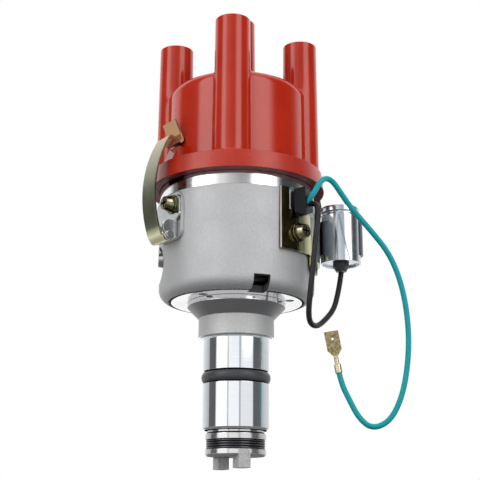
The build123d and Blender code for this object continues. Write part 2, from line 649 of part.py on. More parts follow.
EAR_INNER = CLIP_WIDTH / 2 + REST_GAP
for side, azimuth in zip(("left", "right"), CLIP_AZIMUTHS):
    lobe_height = CLIP_PIN_HEIGHT + EAR_LOBE_RISE
    with BuildPart() as bracket:
        with BuildSketch(face_plane(azimuth, PAD_DISTANCE, 0)) as plate:
            with Locations((0, (BRACKET_TOP + BRACKET_WAIST) / 2)):
                RectangleRounded(BRACKET_WIDTH, BRACKET_TOP - BRACKET_WAIST, BRACKET_CORNER)
            with Locations((0, BRACKET_BOTTOM)):
                Rectangle(2 * (EAR_INNER + EAR_SHEET), BRACKET_WAIST + BRACKET_CORNER - BRACKET_BOTTOM,
                          align=(Align.CENTER, Align.MIN))
            fillet(plate.vertices().filter_by_position(Axis.Y, BRACKET_BOTTOM + 1,
                                                       BRACKET_WAIST + BRACKET_CORNER / 2), WAIST_BLEND)
        extrude(amount=BRACKET_SHEET)
        for sign in (-1, 1):
            ear_plane = side_plane(azimuth).offset(sign * (EAR_INNER + EAR_SHEET / 2))
            with BuildSketch(ear_plane):
                with Locations((PIN_DISTANCE, CLIP_PIN_HEIGHT)):
                    Circle(EAR_RADIUS)
                with Locations((PIN_DISTANCE, lobe_height)):
                    Circle(EAR_LOBE_RADIUS)
                with BuildLine():
                    Polyline((PAD_DISTANCE + BRACKET_SHEET / 2, BRACKET_WAIST),
                             (PIN_DISTANCE, lobe_height + EAR_LOBE_RADIUS),
                             (PIN_DISTANCE, CLIP_PIN_HEIGHT - EAR_RADIUS),
                             (PAD_DISTANCE + BRACKET_SHEET / 2, BRACKET_BOTTOM), close=True)
                make_face()
            extrude(amount=EAR_SHEET / 2, both=True)
        with BuildSketch(side_plane(azimuth)):
            with Locations((PIN_DISTANCE, CLIP_PIN_HEIGHT)):
                Circle(CLIP_PIN_RADIUS + SHEET_GAP / 2)
        extrude(amount=BRACKET_WIDTH / 2, both=True, mode=Mode.SUBTRACT)
        with BuildSketch(face_plane(azimuth, PAD_DISTANCE, CLIP_SCREW_HEIGHT)):
            with Locations((CLIP_SCREW_SIDE, 0)):
                Circle(SCREW_RADIUS + SHEET_GAP)
        extrude(amount=BRACKET_SHEET, mode=Mode.SUBTRACT)
    save(bracket.part, f"clip_bracket_{side}")

with BuildPart() as clip_pins:
    pin_half = EAR_INNER + EAR_SHEET
    for azimuth in CLIP_AZIMUTHS:
        with BuildSketch(side_plane(azimuth)):
            with Locations((PIN_DISTANCE, CLIP_PIN_HEIGHT)):
                Circle(CLIP_PIN_RADIUS)
        extrude(amount=pin_half, both=True)
        for sign in (-1, 1):
            with BuildSketch(side_plane(azimuth).offset(sign * pin_half)):
                with Locations((PIN_DISTANCE, CLIP_PIN_HEIGHT)):
                    Circle(CLIP_PIN_RADIUS + PIN_HEAD_LIP)
            extrude(amount=sign * PIN_HEAD_SHEET)
save(clip_pins.part, "clip_pins")

CLIP_SCREW_PLANES = [
    Plane(face_plane(azimuth, CLIP_SCREW_SEAT, CLIP_SCREW_HEIGHT).from_local_coords((CLIP_SCREW_SIDE, 0, 0)),
          x_dir=face_plane(azimuth, 0, 0).x_dir, z_dir=face_plane(azimuth, 0, 0).z_dir)
    for azimuth in CLIP_AZIMUTHS
]
BRACKET_SCREW_PLANES = CLIP_SCREW_PLANES + [
    face_plane(CONDENSER_SCREW_AZIMUTH, CONDENSER_SCREW_SEAT, CONDENSER_SCREW_HEIGHT)]

with BuildPart() as washers:
    for seat in BRACKET_SCREW_PLANES:
        ring(seat, WASHER_RADIUS, SCREW_RADIUS + SHEET_GAP, WASHER_SHEET)
save(washers.part, "flat_washers")

with BuildPart() as split_washers:
    for seat in BRACKET_SCREW_PLANES:
        ring(seat.offset(WASHER_SHEET), SPLIT_WASHER_RADIUS, SCREW_RADIUS + SHEET_GAP, SPLIT_WASHER_SHEET)
save(split_washers.part, "split_washers")

with BuildPart() as bracket_screws:
    for seat in BRACKET_SCREW_PLANES:
        pan_screw(seat.offset(WASHER_SHEET + SPLIT_WASHER_SHEET), SCREW_HEAD_RADIUS, SCREW_HEAD,
                  SCREW_RADIUS, SCREW_LENGTH + WASHER_SHEET + SPLIT_WASHER_SHEET)
save(bracket_screws.part, "bracket_screws")

# Drive end: shaft, dog, its cross pin and the spring that keeps the pin in
PLATE_BOTTOM = FLOOR_TOP + THRUST_GAP + THRUST_WASHER + 1.0
PLATE_TOP = PLATE_BOTTOM + PLATE_SHEET
DOG_TOP = -PILOT_LENGTH - THRUST_GAP - THRUST_WASHER
DOG_BOTTOM = DOG_TOP - DOG_LENGTH
DOG_GROOVE_TOP = DOG_TOP - DOG_GROOVE_DROP
DOG_GROOVE_BOTTOM = DOG_GROOVE_TOP - DOG_GROOVE_WIDTH
DOG_PIN_HEIGHT = (DOG_GROOVE_TOP + DOG_GROOVE_BOTTOM) / 2
with BuildPart() as main_shaft:
    post(0, 0, DOG_BOTTOM + DOG_WALL, PLATE_TOP, SHAFT_RADIUS)
    post(0, 0, PLATE_TOP, SPINDLE_TOP, SPINDLE_RADIUS)
    with BuildSketch(Plane.XZ):
        with Locations((0, DOG_PIN_HEIGHT)):
            Circle(DOG_PIN_RADIUS + SHEET_GAP)
    extrude(amount=DOG_RADIUS, both=True, mode=Mode.SUBTRACT)
save(main_shaft.part, "main_shaft")

with BuildPart() as drive_dog:
    turned([(0, DOG_TOP), (DOG_RADIUS - DOG_TURNED_EDGE, DOG_TOP),
            (DOG_RADIUS, DOG_TOP - DOG_TURNED_EDGE), (DOG_RADIUS, DOG_GROOVE_TOP),
            (DOG_RADIUS - DOG_GROOVE_DEPTH, DOG_GROOVE_TOP),
            (DOG_RADIUS - DOG_GROOVE_DEPTH, DOG_GROOVE_BOTTOM), (DOG_RADIUS, DOG_GROOVE_BOTTOM),
            (DOG_RADIUS, DOG_BOTTOM + DOG_TURNED_EDGE), (DOG_RADIUS - DOG_TURNED_EDGE, DOG_BOTTOM),
            (0, DOG_BOTTOM)])
    with BuildSketch(Plane.XY.offset(DOG_BOTTOM + DOG_TURNED_EDGE)):
        with Locations(Location((*polar(TANG_OFFSET, TANG_AZIMUTH + 90), 0), (0, 0, TANG_AZIMUTH))):
            Rectangle(3 * DOG_RADIUS, TANG_WIDTH)
            Rectangle(2 * TANG_INNER, TANG_WIDTH + 1, mode=Mode.SUBTRACT)
        Circle(DOG_RADIUS, mode=Mode.INTERSECT)
    extrude(amount=-TANG_DROP - DOG_TURNED_EDGE)
    post(0, 0, DOG_BOTTOM + DOG_WALL - SHEET_GAP, DOG_TOP, SHAFT_RADIUS + SHEET_GAP, mode=Mode.SUBTRACT)
    with BuildSketch(Plane.XZ):
        with Locations((0, DOG_PIN_HEIGHT)):
            Circle(DOG_PIN_RADIUS + SHEET_GAP)
    extrude(amount=DOG_RADIUS, both=True, mode=Mode.SUBTRACT)
save(drive_dog.part, "drive_dog")

DOG_WIRE_RING = DOG_RADIUS - DOG_GROOVE_DEPTH + DOG_WIRE_RADIUS + SHEET_GAP
with BuildPart() as dog_pin:
    with BuildSketch(Plane.XZ):
        with Locations((0, DOG_PIN_HEIGHT)):
            Circle(DOG_PIN_RADIUS)
    extrude(amount=DOG_RADIUS - DOG_GROOVE_DEPTH - 0.4, both=True)
save(dog_pin.part, "dog_pin")

with BuildPart() as dog_spring:
    wire_pitch = (DOG_GROOVE_WIDTH - 2 * DOG_WIRE_RADIUS - 0.2) / (DOG_WIRE_TURNS - 1)
    for turn in range(DOG_WIRE_TURNS):
        with Locations((0, 0, DOG_GROOVE_TOP - 0.1 - DOG_WIRE_RADIUS - turn * wire_pitch)):
            Torus(DOG_WIRE_RING, DOG_WIRE_RADIUS)
save(dog_spring.part, "dog_retaining_spring")

with BuildPart() as thrust_washers:
    ring(Plane.XY.offset(DOG_TOP), PILOT_RADIUS - 2, SHAFT_RADIUS + SHEET_GAP, THRUST_WASHER)
    ring(Plane.XY.offset(FLOOR_TOP + THRUST_GAP), BORE_RADIUS + 1.5, SHAFT_RADIUS + SHEET_GAP, THRUST_WASHER)
save(thrust_washers.part, "thrust_washers")

# Centrifugal advance: a plate on the shaft, two weights and two springs
WEIGHT_BOTTOM = PLATE_TOP + 0.2
WEIGHT_TOP = WEIGHT_BOTTOM + WEIGHT_THICKNESS
YOKE_BOTTOM = WEIGHT_TOP + YOKE_GAP
YOKE_TOP = YOKE_BOTTOM + YOKE_SHEET
SPRING_HEIGHT = YOKE_TOP + 1.6
POST_TOP = SPRING_HEIGHT + 1.2
with BuildPart() as advance_plate:
    post(0, 0, PLATE_BOTTOM, PLATE_TOP, PLATE_RADIUS)
    post(0, 0, PLATE_BOTTOM - 1.0, PLATE_BOTTOM, BORE_RADIUS)
    post(0, 0, PLATE_BOTTOM - 1.0, PLATE_TOP, SHAFT_RADIUS + SHEET_GAP, mode=Mode.SUBTRACT)
    for half in (0, 180):
        post(*polar(WEIGHT_PIVOT_RING, half), PLATE_BOTTOM, PLATE_TOP, WEIGHT_PIVOT_RADIUS + SHEET_GAP,
             mode=Mode.SUBTRACT)
        post(*polar(BASE_POST_RING, BASE_POST_AZIMUTH + half), PLATE_BOTTOM, PLATE_TOP,
             SPRING_POST_RADIUS + SHEET_GAP, mode=Mode.SUBTRACT)
        post(*polar(WEIGHT_PIVOT_RING + 1, 90 + half), PLATE_BOTTOM, PLATE_TOP, 3.0, mode=Mode.SUBTRACT)
save(advance_plate.part, "advance_plate")

with BuildPart() as weight_pivots:
    for half in (0, 180):
        post(*polar(WEIGHT_PIVOT_RING, half), PLATE_BOTTOM, WEIGHT_TOP + 0.3, WEIGHT_PIVOT_RADIUS)
save(weight_pivots.part, "weight_pivots")

with BuildPart() as spring_posts:
    for half in (0, 180):
        post(*polar(BASE_POST_RING, BASE_POST_AZIMUTH + half), PLATE_BOTTOM, POST_TOP, SPRING_POST_RADIUS)
save(spring_posts.part, "advance_spring_posts")

for weight_name, half in (("advance_weight_a", 0), ("advance_weight_b", 180)):
    start, stop = WEIGHT_ENDS[0] + half, WEIGHT_ENDS[1] + half
    middle = (start + stop) / 2
    with BuildPart() as weight:
        with BuildSketch(Plane.XY.offset(WEIGHT_BOTTOM)):
            with BuildLine():
                ThreePointArc(*(polar(WEIGHT_OUTER, turn) for turn in (start, middle, stop)))
                Line(polar(WEIGHT_OUTER, stop), polar(WEIGHT_INNER, stop))
                ThreePointArc(*(polar(WEIGHT_INNER, turn) for turn in (stop, middle, start)))
                Line(polar(WEIGHT_INNER, start), polar(WEIGHT_OUTER, start))
            make_face()
            with Locations(polar(WEIGHT_PIVOT_RING, half)):
                Circle(WEIGHT_BOSS)
            with Locations(polar((WEIGHT_PIVOT_RING + WEIGHT_PIN_RING) / 2, half)):
                Rectangle(WEIGHT_PIVOT_RING - WEIGHT_PIN_RING, 2 * WEIGHT_ARM_HALF)
            with Locations(polar(WEIGHT_PIN_RING, half)):
                Circle(WEIGHT_ARM_HALF)
        extrude(amount=WEIGHT_THICKNESS)
        post(*polar(WEIGHT_PIVOT_RING, half), WEIGHT_BOTTOM, WEIGHT_TOP, WEIGHT_PIVOT_RADIUS + RUNNING_GAP,
             mode=Mode.SUBTRACT)
        post(*polar(WEIGHT_PIN_RING, half), WEIGHT_TOP, YOKE_TOP, WEIGHT_PIN_RADIUS)
    save(weight.part, weight_name)

with BuildPart() as advance_springs:
    for half in (0, 180):
        hook_a = Vector(*polar(BASE_POST_RING, BASE_POST_AZIMUTH + half), SPRING_HEIGHT)
        hook_b = Vector(*polar(YOKE_POST_RING, YOKE_POST_AZIMUTH + half), SPRING_HEIGHT)
        along = (hook_b - hook_a).normalized()
        clear = SPRING_POST_RADIUS + SPRING_WIRE_RADIUS + SPRING_EYE_SLACK
        reach = (hook_b - hook_a).length
        coil_start = hook_a + along * (clear + SPRING_SHANK)
        coil_length = reach - 2 * (clear + SPRING_SHANK)
        with BuildSketch(Plane(coil_start, z_dir=along)):
            Circle(SPRING_COIL_RADIUS)
            Circle(SPRING_COIL_RADIUS - 2 * SPRING_WIRE_RADIUS, mode=Mode.SUBTRACT)
        extrude(amount=coil_length)
        for hook_end, sign in ((hook_a, 1), (hook_b, -1)):
            with Locations(Location(hook_end)):
                Torus(clear, SPRING_WIRE_RADIUS)
            with BuildSketch(Plane(hook_end + along * (sign * clear), z_dir=along * sign)):
                Circle(SPRING_WIRE_RADIUS)
            extrude(amount=SPRING_SHANK)
            with BuildSketch(Plane(hook_end + along * (sign * (clear + SPRING_SHANK)), z_dir=along * sign)):
                Circle(SPRING_COIL_RADIUS - SPRING_WIRE_RADIUS)
            extrude(amount=SPRING_END_CAP)
save(advance_springs.part, "advance_springs")

# Cam, on the spindle: yoke plate below, four lobes, and the nose that carries the rotor
with BuildPart() as cam:
    with BuildSketch(Plane.XY.offset(YOKE_BOTTOM)):
        Circle(CAM_SLEEVE_RADIUS + 1.5)
        Rectangle(2 * (WEIGHT_PIN_RING + 3.2), 2 * WEIGHT_PIN_RADIUS + 4)
        for half in (0, 180):
            with BuildLine():
                reach_x, reach_y = polar(YOKE_POST_RING, YOKE_POST_AZIMUTH + half)
                side_x, side_y = polar(3.0, YOKE_POST_AZIMUTH + half + 90)
                Polyline((side_x, side_y), (reach_x + 0.7 * side_x, reach_y + 0.7 * side_y),
                         (reach_x - 0.7 * side_x, reach_y - 0.7 * side_y), (-side_x, -side_y), close=True)
            make_face()
            with Locations((reach_x, reach_y)):
                Circle(2.1)
    extrude(amount=YOKE_SHEET)
    for half in (0, 180):
        with BuildSketch(Plane.XY.offset(YOKE_BOTTOM)):
            with Locations(polar(WEIGHT_PIN_RING, half)):
                SlotCenterToCenter(2 * SLOT_TRAVEL, 2 * (WEIGHT_PIN_RADIUS + SLOT_SLACK))
        extrude(amount=YOKE_SHEET, mode=Mode.SUBTRACT)
        post(*polar(YOKE_POST_RING, YOKE_POST_AZIMUTH + half), YOKE_TOP, POST_TOP, SPRING_POST_RADIUS)
    post(0, 0, YOKE_TOP, CAM_BOTTOM, WEIGHT_PIN_RING - WEIGHT_PIN_RADIUS - 0.6)
    post(0, 0, YOKE_TOP + 3, CAM_BOTTOM, CAM_SLEEVE_RADIUS)
    with BuildSketch(Plane.XY.offset(CAM_BOTTOM)):
        RectangleRounded(2 * CAM_HALF_WIDTH, 2 * CAM_HALF_WIDTH, CAM_CORNER, rotation=45)
    extrude(amount=CAM_TOP - CAM_BOTTOM)
    post(0, 0, CAM_TOP, CAM_NOSE_TOP, CAM_NOSE_RADIUS)
    post(0, 0, YOKE_BOTTOM, CAM_NOSE_TOP, SPINDLE_RADIUS + RUNNING_GAP, mode=Mode.SUBTRACT)
    post(0, 0, CAM_NOSE_TOP - COUNTERBORE_DEPTH, CAM_NOSE_TOP, COUNTERBORE_RADIUS, mode=Mode.SUBTRACT)
save(cam.part, "breaker_cam")

CIRCLIP_BOTTOM = SPINDLE_TOP + SHEET_GAP + 0.5
with BuildPart() as cam_clip:
    post(0, 0, CIRCLIP_BOTTOM, CIRCLIP_BOTTOM + CIRCLIP_SHEET, COUNTERBORE_RADIUS - SHEET_GAP)
    post(0, 0, CIRCLIP_BOTTOM, CIRCLIP_BOTTOM + CIRCLIP_SHEET, SPINDLE_RADIUS - 0.6, mode=Mode.SUBTRACT)
save(cam_clip.part, "cam_retaining_ring")

with BuildPart() as oil_felt:
    felt_bottom = CIRCLIP_BOTTOM + CIRCLIP_SHEET + SHEET_GAP
    post(0, 0, felt_bottom, CAM_NOSE_TOP - 0.4, COUNTERBORE_RADIUS - SHEET_GAP)
save(oil_felt.part, "oil_felt")

# Rotor: a moulded arm with its brass blade
ARM_DIRECTION = ROTOR_TURN
BLADE_REACH = TOWER_RING - STUD_RADIUS - SPARK_GAP
with BuildPart() as rotor:
    turned([(0, CAM_NOSE_TOP + 0.3), (CAM_NOSE_RADIUS + SHEET_GAP, CAM_NOSE_TOP + 0.3),
            (CAM_NOSE_RADIUS + SHEET_GAP, ROTOR_BOTTOM), (ROTOR_RADIUS, ROTOR_BOTTOM),
            (ROTOR_RADIUS, ROTOR_TOP - ROTOR_ARM_DEPTH), (ROTOR_RADIUS - 1, ROTOR_TOP), (0, ROTOR_TOP)])
    with BuildSketch(side_plane(ARM_DIRECTION)):
        with BuildLine():
            Polyline((0, ROTOR_TOP), (ROTOR_ARM_REACH, ROTOR_TOP),
                     (ROTOR_ARM_REACH, ROTOR_TOP - 0.5 * ROTOR_ARM_DEPTH),
                     (ROTOR_RADIUS - 1, ROTOR_TOP - 2 * ROTOR_ARM_DEPTH),
                     (0, ROTOR_TOP - 2 * ROTOR_ARM_DEPTH), close=True)
        make_face()
    extrude(amount=ROTOR_ARM_WIDTH / 2, both=True)
save(rotor.part, "rotor_arm")

with BuildPart() as blade:
    with BuildSketch(face_plane(ARM_DIRECTION, 0, ROTOR_TOP + BLADE_SHEET / 2)):
        Rectangle(BLADE_WIDTH, BLADE_SHEET)
    extrude(amount=BLADE_REACH - 1)
    post(0, 0, ROTOR_TOP, ROTOR_TOP + BLADE_SHEET, BLADE_WIDTH / 2 + 0.6)
    with BuildSketch(face_plane(ARM_DIRECTION, BLADE_REACH - 1, ROTOR_TOP + BLADE_SHEET / 2)):
        Rectangle(BLADE_WIDTH - 1, BLADE_SHEET)
    extrude(amount=1)
save(blade.part, "rotor_blade")

# Breaker plate and points
with BuildPart() as breaker_plate:
    post(0, 0, BREAKER_PLATE_BOTTOM, PLATE_SCREW_SEAT, INNER_RADIUS - 0.2)
    post(0, 0, BREAKER_PLATE_BOTTOM, PLATE_SCREW_SEAT, BREAKER_PLATE_HOLE, mode=Mode.SUBTRACT)
    for azimuth in PLATE_SCREW_AZIMUTHS:
        post(*polar(PLATE_SCREW_RING, azimuth), BREAKER_PLATE_BOTTOM, PLATE_SCREW_SEAT,
             PLATE_SCREW_RADIUS + SHEET_GAP, mode=Mode.SUBTRACT)
    for azimuth in PLATE_WINDOW_AZIMUTHS:
        post(*polar(PLATE_WINDOW_RING, azimuth), BREAKER_PLATE_BOTTOM, PLATE_SCREW_SEAT,
             PLATE_WINDOW_RADIUS, mode=Mode.SUBTRACT)
    post(*LOCK_SCREW, BREAKER_PLATE_BOTTOM, PLATE_SCREW_SEAT, LOCK_SCREW_RADIUS + SHEET_GAP,
         mode=Mode.SUBTRACT)
save(breaker_plate.part, "breaker_plate")

with BuildPart() as plate_screws:
    for azimuth in PLATE_SCREW_AZIMUTHS:
        seat = Plane.XY.offset(PLATE_SCREW_SEAT).move(Location((*polar(PLATE_SCREW_RING, azimuth), 0)))
        pan_screw(seat, PLATE_SCREW_HEAD_RADIUS, PLATE_SCREW_HEAD, PLATE_SCREW_RADIUS,
                  PLATE_SCREW_LENGTH)
save(plate_screws.part, "plate_screws")

CONTACT_TOP = PLATE_SCREW_SEAT + CONTACT_SHEET
FIXED_FACE = ARM_FACE + 2 * POINT_SHEET + POINT_GAP
with BuildPart() as fixed_contact:
    with BuildSketch(Plane.XY.offset(PLATE_SCREW_SEAT)):
        with BuildLine():
            contact_right = POINTS_PIVOT[0] + CONTACT_MARGIN
            Polyline((contact_right, CONTACT_BACK), (contact_right, CONTACT_FRONT_RIGHT),
                     (CONTACT_LEFT, CONTACT_FRONT_LEFT), (CONTACT_LEFT, FIXED_FACE + CONTACT_SHEET),
                     (POINT_X + CONTACT_HORN, FIXED_FACE + CONTACT_SHEET),
                     (-CONTACT_WAIST_HALF, CONTACT_WAIST), (CONTACT_WAIST_HALF, CONTACT_WAIST),
                     (CONTACT_WAIST_HALF + CONTACT_SLANT, CONTACT_BACK), close=True)
        make_face()
    extrude(amount=CONTACT_SHEET)
    with Locations((POINT_X, FIXED_FACE, PLATE_SCREW_SEAT)):
        Box(CONTACT_HORN, CONTACT_SHEET, ARM_TOP - PLATE_SCREW_SEAT,
            align=(Align.CENTER, Align.MIN, Align.MIN))
    post(*LOCK_SCREW, PLATE_SCREW_SEAT, CONTACT_TOP, LOCK_SCREW_RADIUS + SHEET_GAP, mode=Mode.SUBTRACT)
save(fixed_contact.part, "fixed_contact_bracket")

with BuildPart() as pivot_post:
    post(*POINTS_PIVOT, CONTACT_TOP, POINTS_PIVOT_TOP, POINTS_PIVOT_RADIUS)
save(pivot_post.part, "points_pivot")

POINT_HEIGHT = (ARM_BOTTOM + ARM_TOP) / 2
with BuildPart() as points_fixed:
    with BuildSketch(Plane((POINT_X, FIXED_FACE, POINT_HEIGHT), x_dir=(1, 0, 0), z_dir=(0, -1, 0))):
        Circle(POINT_RADIUS)
    extrude(amount=POINT_SHEET)
save(points_fixed.part, "fixed_point")

with BuildPart() as points_moving:
    with BuildSketch(Plane((POINT_X, ARM_FACE, POINT_HEIGHT), x_dir=(1, 0, 0), z_dir=(0, 1, 0))):
        Circle(POINT_RADIUS)
    extrude(amount=POINT_SHEET)
save(points_moving.part, "moving_point")

with BuildPart() as breaker_arm:
    with BuildSketch(Plane.XY.offset(ARM_BOTTOM)):
        with BuildLine():
            Polyline((POINTS_PIVOT[0], ARM_FACE), (ARM_END, ARM_FACE), (ARM_END, ARM_FACE - ARM_SHEET),
                     (POINTS_PIVOT[0], ARM_FACE - ARM_SHEET), close=True)
        make_face()
    extrude(amount=ARM_TOP - ARM_BOTTOM)
    post(*POINTS_PIVOT, CONTACT_TOP + 0.2, POINTS_PIVOT_TOP - 1, ARM_BOSS_RADIUS)
    post(*POINTS_PIVOT, CONTACT_TOP + 0.2, POINTS_PIVOT_TOP - 1, POINTS_PIVOT_RADIUS + RUNNING_GAP,
         mode=Mode.SUBTRACT)
save(breaker_arm.part, "breaker_arm")

with BuildPart() as rubbing_block:
    with BuildSketch(Plane.XY.offset(ARM_BOTTOM)):
        with BuildLine():
            Polyline((-BLOCK_HALF_WIDTH, ARM_FACE), (BLOCK_HALF_WIDTH, ARM_FACE),
                     (0.5 * BLOCK_HALF_WIDTH, -CAM_TIP_RADIUS - BLOCK_GAP),
                     (-0.5 * BLOCK_HALF_WIDTH, -CAM_TIP_RADIUS - BLOCK_GAP), close=True)
        make_face()
    extrude(amount=ARM_TOP - ARM_BOTTOM)
save(rubbing_block.part, "rubbing_block")

with BuildPart() as terminal_block:
    post(*TERMINAL, PLATE_SCREW_SEAT, TERMINAL_TOP, TERMINAL_RADIUS)
    post(*TERMINAL, TERMINAL_TOP - 2.0, TERMINAL_TOP, TERMINAL_BORE, mode=Mode.SUBTRACT)
save(terminal_block.part, "terminal_insulator")

with BuildPart() as terminal_screw:
    pan_screw(Plane((*TERMINAL, TERMINAL_TOP + TAB_SHEET)), TERMINAL_RADIUS, 1.6,
              TERMINAL_BORE - SHEET_GAP, TAB_SHEET + 1.9)
save(terminal_screw.part, "terminal_screw")

with BuildPart() as contact_spring:
    leaf_start = (TERMINAL[0] - TERMINAL_RADIUS - LEAF_GAP, TERMINAL[1] + 0.6)
    leaf_end = (-3.0, ARM_FACE - ARM_SHEET - LEAF_GAP)
    with BuildSketch(Plane.XY.offset(ARM_BOTTOM + 0.5)):
        with BuildLine():
            ThreePointArc(leaf_start, (5.5, -18.0), leaf_end)
            offset(amount=0.3, side=Side.BOTH)
        make_face()
    extrude(amount=TERMINAL_TOP - ARM_BOTTOM - 0.5)
save(contact_spring.part, "contact_spring")

with BuildPart() as lock_screw:
    pan_screw(Plane((*LOCK_SCREW, CONTACT_TOP)), 2.0, 1.4, LOCK_SCREW_RADIUS,
              CONTACT_SHEET + BREAKER_PLATE_SHEET)
save(lock_screw.part, "points_lock_screw")


def tube(route, radius):
    """A lead: straight runs joined by arcs as large as the two runs allow."""
    points = [Vector(*point) for point in route]
    runs = [after - before for before, after in zip(points, points[1:])]
    radii = [
        0.45 * min(before.length, after.length) / math.tan(math.radians(before.get_angle(after) / 2))
        for before, after in zip(runs, runs[1:])
    ]
    with BuildLine():
        path = FilletPolyline(*points, radius=radii)
    with BuildSketch(Plane(origin=points[0], z_dir=runs[0])) as section:
        Circle(radius)
    sweep(section.sketch, path=path)
    print("radii", [round(value, 1) for value in radii], "length", round(path.length, 1))
    return math.pi * radius ** 2 * path.length


with BuildPart() as primary_lead:
    expected = tube(PRIMARY_LEAD_ROUTE, LEAD_RADIUS)
print("primary lead volume", round(primary_lead.part.volume, 1), "expected", round(expected, 1))
save(primary_lead.part, "primary_lead")

with BuildPart() as condenser_lead:
    expected = tube(CONDENSER_LEAD_ROUTE, LEAD_RADIUS)
print("condenser lead volume", round(condenser_lead.part.volume, 1), "expected", round(expected, 1))
save(condenser_lead.part, "condenser_lead")

with BuildPart() as grommet:
    with BuildSketch(Plane.XY.offset(GROMMET_TIP)):
        with BuildLine():
            Polyline(polar(*GROMMET_LEFT), polar(*GROMMET_CORNER), polar(*GROMMET_RIGHT),
                     polar(*GROMMET_BACK), close=True)
        make_face()
    extrude(amount=GROMMET_TOP - GROMMET_TIP)
    outward = face_plane(GROMMET_AZIMUTH, INNER_RADIUS, 0)
    left, corner, right = (outward.to_local_coords(Vector(*polar(*spot), 0)).X
                           for spot in (GROMMET_LEFT, GROMMET_CORNER, GROMMET_RIGHT))
    with BuildSketch(outward):
        with BuildLine():
            Polyline((left, GROMMET_LEFT_BOTTOM), (corner, GROMMET_TIP), (right, GROMMET_RIGHT_BOTTOM),
                     (right, GROMMET_TOP - GROMMET_RIGHT_DROP), (corner, GROMMET_TOP),
                     (left, GROMMET_TOP - GROMMET_LEFT_DROP), close=True)
        make_face()
    extrude(amount=GROMMET_CORNER[0], mode=Mode.INTERSECT)
    with BuildSketch(face_plane(GROMMET_AZIMUTH, GROMMET_INNER, GROMMET_MIDDLE)):
        RectangleRounded(GROMMET_NECK_WIDTH - 2 * SHEET_GAP, GROMMET_NECK_HEIGHT - 2 * SHEET_GAP, 1.5)
    extrude(amount=GROMMET_LEFT[0] - GROMMET_INNER)
    for route in (PRIMARY_LEAD_ROUTE, CONDENSER_LEAD_ROUTE):
        first_run = Vector(*route[1]) - Vector(*route[0])
        with BuildSketch(Plane(origin=route[0], z_dir=first_run)):
            Circle(LEAD_RADIUS + SHEET_GAP)
        extrude(amount=2 * first_run.length, mode=Mode.SUBTRACT)
save(grommet.part, "lead_grommet")

INNER_LEAD_SIDE = -0.6
TAB_DISTANCE = GROMMET_INNER - 2.0
with BuildPart() as inner_leads:
    for sign in (-1, 1):
        with BuildSketch(face_plane(GROMMET_AZIMUTH, TAB_DISTANCE + SHEET_GAP,
                                    GROMMET_MIDDLE + sign * INNER_LEAD_SPREAD)):
            with Locations((INNER_LEAD_SIDE, 0)):
                Circle(LEAD_RADIUS)
        extrude(amount=GROMMET_INNER - TAB_DISTANCE - 2 * SHEET_GAP)
save(inner_leads.part, "inner_leads")

with BuildPart() as lead_tab:
    tab_half = 2.0
    tab_top = GROMMET_MIDDLE + INNER_LEAD_SPREAD + LEAD_RADIUS
    tab_plane = face_plane(GROMMET_AZIMUTH, TAB_DISTANCE, (tab_top + TERMINAL_TOP) / 2)
    with BuildSketch(tab_plane):
        with Locations((INNER_LEAD_SIDE, 0)):
            Rectangle(2 * tab_half, tab_top - TERMINAL_TOP)
    extrude(amount=-TAB_SHEET)
    tab_left = tab_plane.from_local_coords((INNER_LEAD_SIDE - tab_half, 0, 0))
    tab_right = tab_plane.from_local_coords((INNER_LEAD_SIDE + tab_half, 0, 0))
    with BuildSketch(Plane.XY.offset(TERMINAL_TOP)):
        with BuildLine():
            Polyline((tab_left.X, tab_left.Y), (tab_right.X, tab_right.Y),
                     (TERMINAL[0] + 0.6, TERMINAL[1] + TERMINAL_RADIUS - 0.3),
                     (TERMINAL[0] + 0.6, TERMINAL[1] - TERMINAL_RADIUS + 0.3), close=True)
        make_face()
        with Locations(TERMINAL):
            Circle(TERMINAL_RADIUS)
            Circle(TERMINAL_BORE, mode=Mode.SUBTRACT)
    extrude(amount=TAB_SHEET)
save(lead_tab.part, "lead_tab")

# Spade connector: its axis continues the last run of the primary lead
lead_end = Vector(*PRIMARY_LEAD_ROUTE[-1])
spade_axis = (lead_end - Vector(*PRIMARY_LEAD_ROUTE[-2])).normalized()
spade_foot = lead_end - spade_axis * SPADE_GRIP
spade_face = Plane(origin=spade_foot, x_dir=spade_axis.cross(Vector(0, -1, 0)),
                   z_dir=(0, -1, 0))


def spade_section(height):
    """A plane across the connector at this distance from its foot; its Y points to the back."""
    return Plane(origin=spade_foot + spade_axis * height, x_dir=spade_face.x_dir, z_dir=spade_axis)


